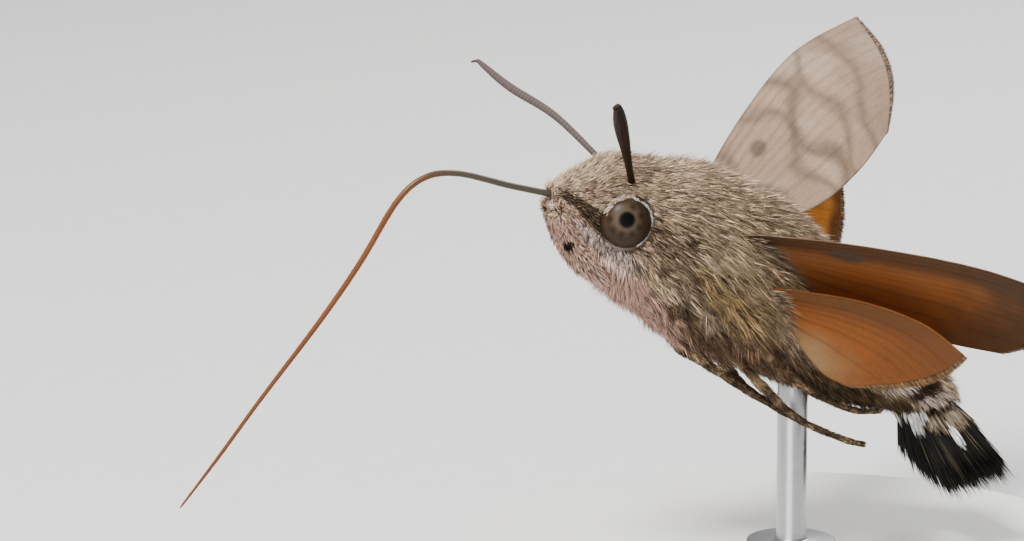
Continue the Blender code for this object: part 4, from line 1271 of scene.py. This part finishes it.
# Each hip's station on the body and its turn from the back, in degrees.
LEG_HIPS = {"foreleg": (5.0, 158.0), "midleg": (6.55, 146.0), "hindleg": (7.35, 132.0)}
LEG_PATHS = {
    "foreleg": [(1.5, -5.4, 13.55), (1.7, -3.6, 12.3), (1.8, -1.6, 10.9), (1.9, -0.6, 10.3)],
    "midleg": [(2.3, -2.6, 12.2), (2.7, -0.8, 10.5), (3.0, 1.4, 9.4), (3.2, 2.4, 9.1)],
}
MIDLEG_RIGHT_END = (-3.15, 2.0, 9.2)
HINDLEG_STATIONS = [(8.1, 134.0), (9.0, 140.0), (9.9, 146.0), (10.7, 150.0)]
HINDLEG_OUT = [0.7, 0.62, 0.5, 0.36]
LEG_RADII = [0.3, 0.27, 0.2, 0.24, 0.21, 0.15, 0.165, 0.14, 0.15, 0.13, 0.14, 0.115, 0.12, 0.1]
LEG_TAN = np.array([0.21, 0.14, 0.078])
LEG_BROWN = np.array([0.07, 0.042, 0.023])
LEG_SCALES = 1150
SCALE_TAPER = np.array([1.1, 1.0, 0.0])
# The spurs sit in pairs on the shin and the foot: their places along the leg, turns round it and lengths.
SPUR_AT = np.array([0.46, 0.46, 0.72, 0.72, 0.985, 0.985])
SPUR_ANGLE = np.radians([-70.0, -110.0, -65.0, -115.0, -60.0, -120.0])
SPUR_LONG = np.array([0.5, 0.42, 0.55, 0.45, 0.2, 0.2])[:, None]
SPUR_WIDE = 0.04
leg_draw = np.random.default_rng(51)
for sign, label in ((1, "left"), (-1, "right")):
    for leg in ("foreleg", "midleg", "hindleg"):
        station, degrees = LEG_HIPS[leg]
        hip = body_place(np.array(station), np.array(math.radians(degrees * sign)), -HIP_DEPTH)
        leg_path = [tuple(hip)]
        if leg == "hindleg":
            for (there, turned), far_out in zip(HINDLEG_STATIONS, HINDLEG_OUT):
                knee = body_place(np.array(there), np.array(math.radians(turned * sign)), far_out)
                leg_path.append(tuple(knee))
        else:
            leg_path += [(x * sign, y, z) for x, y, z in LEG_PATHS[leg]]
        if leg == "midleg" and sign < 0:
            leg_path[-1] = MIDLEG_RIGHT_END

        def leg_place(share, angle):
            return tube_place(leg_path, LEG_RADII, LEG_RADII, (1, 0, 0), share, angle)

        def leg_tint(share, angle, points):
            mottle = step(waves(points, 0.9, 52) + 0.4 * np.sin(share * 60), 0.1, 0.7)
            return paint_over(np.broadcast_to(LEG_BROWN, points.shape), mottle, LEG_TAN)

        limb = long_form("limb", 20, 90, leg_place, leg_tint)
        settle(limb, f"{leg}_{label}_limb", horn, "leg", f"{leg}_{label}")
        count = LEG_SCALES
        share = leg_draw.uniform(0.12, 0.99, count) ** 0.9
        angle = leg_draw.uniform(-math.pi, math.pi, count)
        root = leg_place(share, angle)
        middle, ahead = follow(leg_path, share)
        out = unit(root - middle)
        length = leg_draw.uniform(0.16, 0.34, count) * (1.3 - 0.7 * share)
        tip = root + (ahead * 0.96 + out * 0.2) * length[:, None]
        spur_root = leg_place(SPUR_AT, SPUR_ANGLE)
        spur_middle, spur_ahead = follow(leg_path, SPUR_AT)
        spur_out = unit(spur_root - spur_middle)
        spur_tip = spur_root + (spur_ahead * 0.85 + spur_out * 0.5) * SPUR_LONG
        root = np.concatenate([root, spur_root - spur_out * 0.03])
        tip = np.concatenate([tip, spur_tip])
        out = np.concatenate([out, spur_out])
        ahead = np.concatenate([ahead, spur_ahead])
        share = np.concatenate([share, SPUR_AT])
        angle = np.concatenate([angle, SPUR_ANGLE])
        wide = np.concatenate([leg_draw.uniform(0.018, 0.03, count), np.full(len(SPUR_AT), SPUR_WIDE)])
        scales = tuft_mesh(
            f"{leg}_{label}_scales", straight_lines(root, tip), unit(np.cross(out, ahead)),
            wide[:, None] * SCALE_TAPER, hair_colours(leg_draw, leg_tint(share, angle, root)),
            np.stack([0.02 + share * 0.96, 0.5 + angle / 6.5], -1)
        )
        settle(scales, f"{leg}_{label}_scales", fur, "leg")


# Tail fan: a broad brush of long flat black scales on the abdomen's end, which steers the hovering moth.
# White and cream tufts stand out at its sides, and all are rooted in the last ring of the body.
FAN_AXIS = unit((0.0, 0.5, -0.87))
FAN_LENGTH = 4.5
FAN_SPREAD = 36.0
FAN_SCALES = 5200
COVER_SCALES = 900
QUARTER_TURN = 1.57
FAN_BLACK = np.array([0.008, 0.0065, 0.005])
FAN_WHITE = np.array([0.85, 0.83, 0.82])
FAN_CREAM = np.array([0.55, 0.42, 0.29])
# Side tufts: angle round the tail end from the back, start along the fan, length, number of scales
# and colour.
TAIL_TUFTS = [
    (58.0, 1.9, 1.9, 40, FAN_WHITE), (90.0, 1.0, 1.6, 24, FAN_WHITE), (112.0, 0.0, 1.3, 50, FAN_CREAM * 0.35),
    (74.0, 0.0, 1.5, 70, FAN_CREAM * 0.45), (142.0, -1.1, 2.3, 190, FAN_WHITE),
]
fan_draw = np.random.default_rng(61)
end_back, end_belly, end_width = BODY_SECTIONS[-1]
end_back = np.array([0.0, *end_back])
end_belly = np.array([0.0, *end_belly])
end_up = unit(end_back - end_belly)
end_height = np.linalg.norm(end_back - end_belly) / 2
end_along = np.array([0.0, end_up[2], -end_up[1]])
end_middle = (end_back + end_belly) / 2
fan_across = np.array([1.0, 0.0, 0.0])


def fan_scales(name, count, share, level, length, lift, tone, width):
    """One layer of the fan: scales fanned out sideways by their share, and lifted by their level."""
    swing = np.radians(FAN_SPREAD) * share + fan_draw.normal(0, 0.04, count)
    start = end_middle + end_along * 0.15 + fan_across * (end_width * 0.66 * share)[:, None]
    start = start + end_up * (end_height * 0.6 * level)[:, None]
    way = FAN_AXIS * np.cos(swing)[:, None] + fan_across * np.sin(swing)[:, None]
    rise = end_up * (level * lift)[:, None]
    s = np.linspace(0, 1, 4)[None, :, None]
    path = start[:, None] + (end_along * 0.5)[None, None] * np.sin(s * QUARTER_TURN)
    path = path + way[:, None] * length[:, None, None] * s
    path = path + rise[:, None] * s ** 0.8 + fan_draw.normal(0, 0.05, (count, 1, 3)) * s
    widths = (width * fan_draw.uniform(0.7, 1.3, count))[:, None] * np.array([0.7, 1.0, 0.95, 0.0])
    across = unit(np.cross(np.cross(way, fan_across), way))
    uv = np.stack([0.5 + share * 0.46, 0.5 + level * 0.42], -1)
    tones = hair_colours(fan_draw, tone, 4, 0.6)
    piece = tuft_mesh(name, path, across, widths, tones, np.clip(uv, 0.01, 0.99), flat=0.35)
    return settle(piece, name, fur, "tail_scales")


count = FAN_SCALES
share = fan_draw.uniform(-1, 1, count)
level = fan_draw.uniform(-1, 1, count)
ragged = 1 - 0.12 * share ** 2 + 0.05 * np.sin(share * 17) + 0.04 * np.sin(share * 41 + 1)
length = FAN_LENGTH * ragged * fan_draw.uniform(0.72, 1.04, count)
streaked = 0.5 * (fan_draw.random(count) < 0.04)
tone = paint_over(np.broadcast_to(FAN_BLACK, (count, 3)), streaked, FAN_CREAM * 0.3)
brush = fan_scales("tail_fan_black", count, share, level, length, 0.55, tone, 0.06)
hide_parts("tail_fan")

count = COVER_SCALES
share = fan_draw.uniform(-0.75, 0.75, count)
level = fan_draw.uniform(0.55, 1.1, count)
length = fan_draw.uniform(0.9, 2.1, count)
brown = fan_draw.random(count) ** 0.6
tone = paint_over(np.broadcast_to(FAN_CREAM * 0.6, (count, 3)), brown, DARK_BROWN)
fan_scales("tail_cover_scales", count, share, level, length, 0.5, tone, 0.05)

for sign, label in ((1, "left"), (-1, "right")):
    groups = []
    for degrees, ahead, length, count, tone in TAIL_TUFTS:
        angle = np.radians(degrees + fan_draw.normal(0, 3 if ahead > 0 else 7, count))
        out = end_up * np.cos(angle)[:, None] + fan_across * (np.sin(angle) * sign)[:, None]
        start = end_middle + end_along * 0.1 + FAN_AXIS * max(ahead, 0) + end_along * min(ahead, 0)
        start = start + end_up * (end_height * 0.85 * np.cos(angle))[:, None]
        start = start + fan_across * (end_width * 0.85 * np.sin(angle) * sign)[:, None]
        start = start + out * 0.28 * max(ahead, 0)
        start = start + FAN_AXIS * (fan_draw.uniform(-0.45, 0.35, count) * (ahead > 0))[:, None]
        s = np.linspace(0, 1, 5)[None, :, None]
        long = length * fan_draw.uniform(0.55, 1.1, count)[:, None, None]
        path = start[:, None] + FAN_AXIS * long * s + out[:, None] * 0.55 * np.sin(s * QUARTER_TURN)
        path = path + fan_draw.normal(0, 0.06, (count, 1, 3)) * s
        widths = fan_draw.uniform(0.03, 0.05, count)[:, None] * np.array([0.6, 0.9, 1.0, 0.85, 0.0])
        tones = hair_colours(fan_draw, np.broadcast_to(tone, (count, 3)), 5, 0.4)
        uv = np.stack([0.5 + sign * angle / 7, np.full(count, 0.97)], -1)
        groups.append((path, np.cross(out, FAN_AXIS), widths, tones, uv))
    joined = [np.concatenate(parts) for parts in zip(*groups)]
    tufts = tuft_mesh(f"tail_tufts_{label}", *joined)
    settle(tufts, f"tail_tufts_{label}", fur, "tail_scales")


# Floor: plain pale card under the stand.
# It is part of the stage and not of the model.
FLOOR_SIZE = 3.0
CARD_GREY = (0.6, 0.61, 0.59)
CARD_PALE = (0.66, 0.67, 0.65)
begin()
bpy.ops.mesh.primitive_plane_add(size=FLOOR_SIZE, location=(0, 0, 0))
floor = bpy.context.object
floor.name = "floor"


def card_nodes(tree):
    """Pale matt card with a faint tooth."""
    place = add_node(tree, "TexCoord", out=3)
    tooth = add_node(tree, "TexNoise", {}, {"Vector": place, "Scale": 700.0, "Detail": 3.0})
    colour = blend_colours(tree, tooth, CARD_GREY, CARD_PALE)
    return {"Base Color": colour, "Roughness": 0.9}


floor.data.materials.append(new_material("pale_card", card_nodes))


# Light: a broad soft key above and in front, a fill beside the camera and a weak rim behind.
# Each row holds a lamp's place, its size and its power. A pale world fills the shadows.
LIGHTS = {
    "key": ((110, -150, 280), 90, 2.5),
    "fill": ((240, -200, 60), 200, 0.4),
    "rim": ((-140, 150, 220), 140, 0.9),
}
LIT_PLACE = Vector((0, -4, 17)) * MM
WORLD_COLOUR = (0.86, 0.88, 0.86, 1.0)
WORLD_STRENGTH = 0.34
for name, (place, size, watts) in LIGHTS.items():
    begin()
    where = Vector(place) * MM
    bpy.ops.object.light_add(type="AREA", location=where)
    lamp = bpy.context.object
    lamp.name = name
    lamp.data.size = size * MM
    lamp.data.energy = watts
    lamp.rotation_euler = (LIT_PLACE - where).to_track_quat("-Z", "Y").to_euler()
world = bpy.data.worlds.new("studio")
bpy.context.scene.world = world
world.use_nodes = True
world.node_tree.nodes["Background"].inputs["Color"].default_value = WORLD_COLOUR
world.node_tree.nodes["Background"].inputs["Strength"].default_value = WORLD_STRENGTH


# Camera: at the photograph's height and side, with a long lens about a quarter of a metre away.
# Its aim keeps the photograph's framing.
CAMERA_PLACE = Vector((224.099, -96.160, 69.010)) * MM
CAMERA_AIM = Vector((0.0, -14.594, 18.319)) * MM
LENS = 180.0
SENSOR_WIDTH = 36.0
NEAR_CLIP = 0.01
begin()
bpy.ops.object.camera_add(location=CAMERA_PLACE)
camera = bpy.context.object
camera.name = "camera"
camera.rotation_euler = (CAMERA_AIM - CAMERA_PLACE).to_track_quat("-Z", "Y").to_euler()
camera.data.lens = LENS
camera.data.sensor_width = SENSOR_WIDTH
camera.data.clip_start = NEAR_CLIP
bpy.context.scene.camera = camera
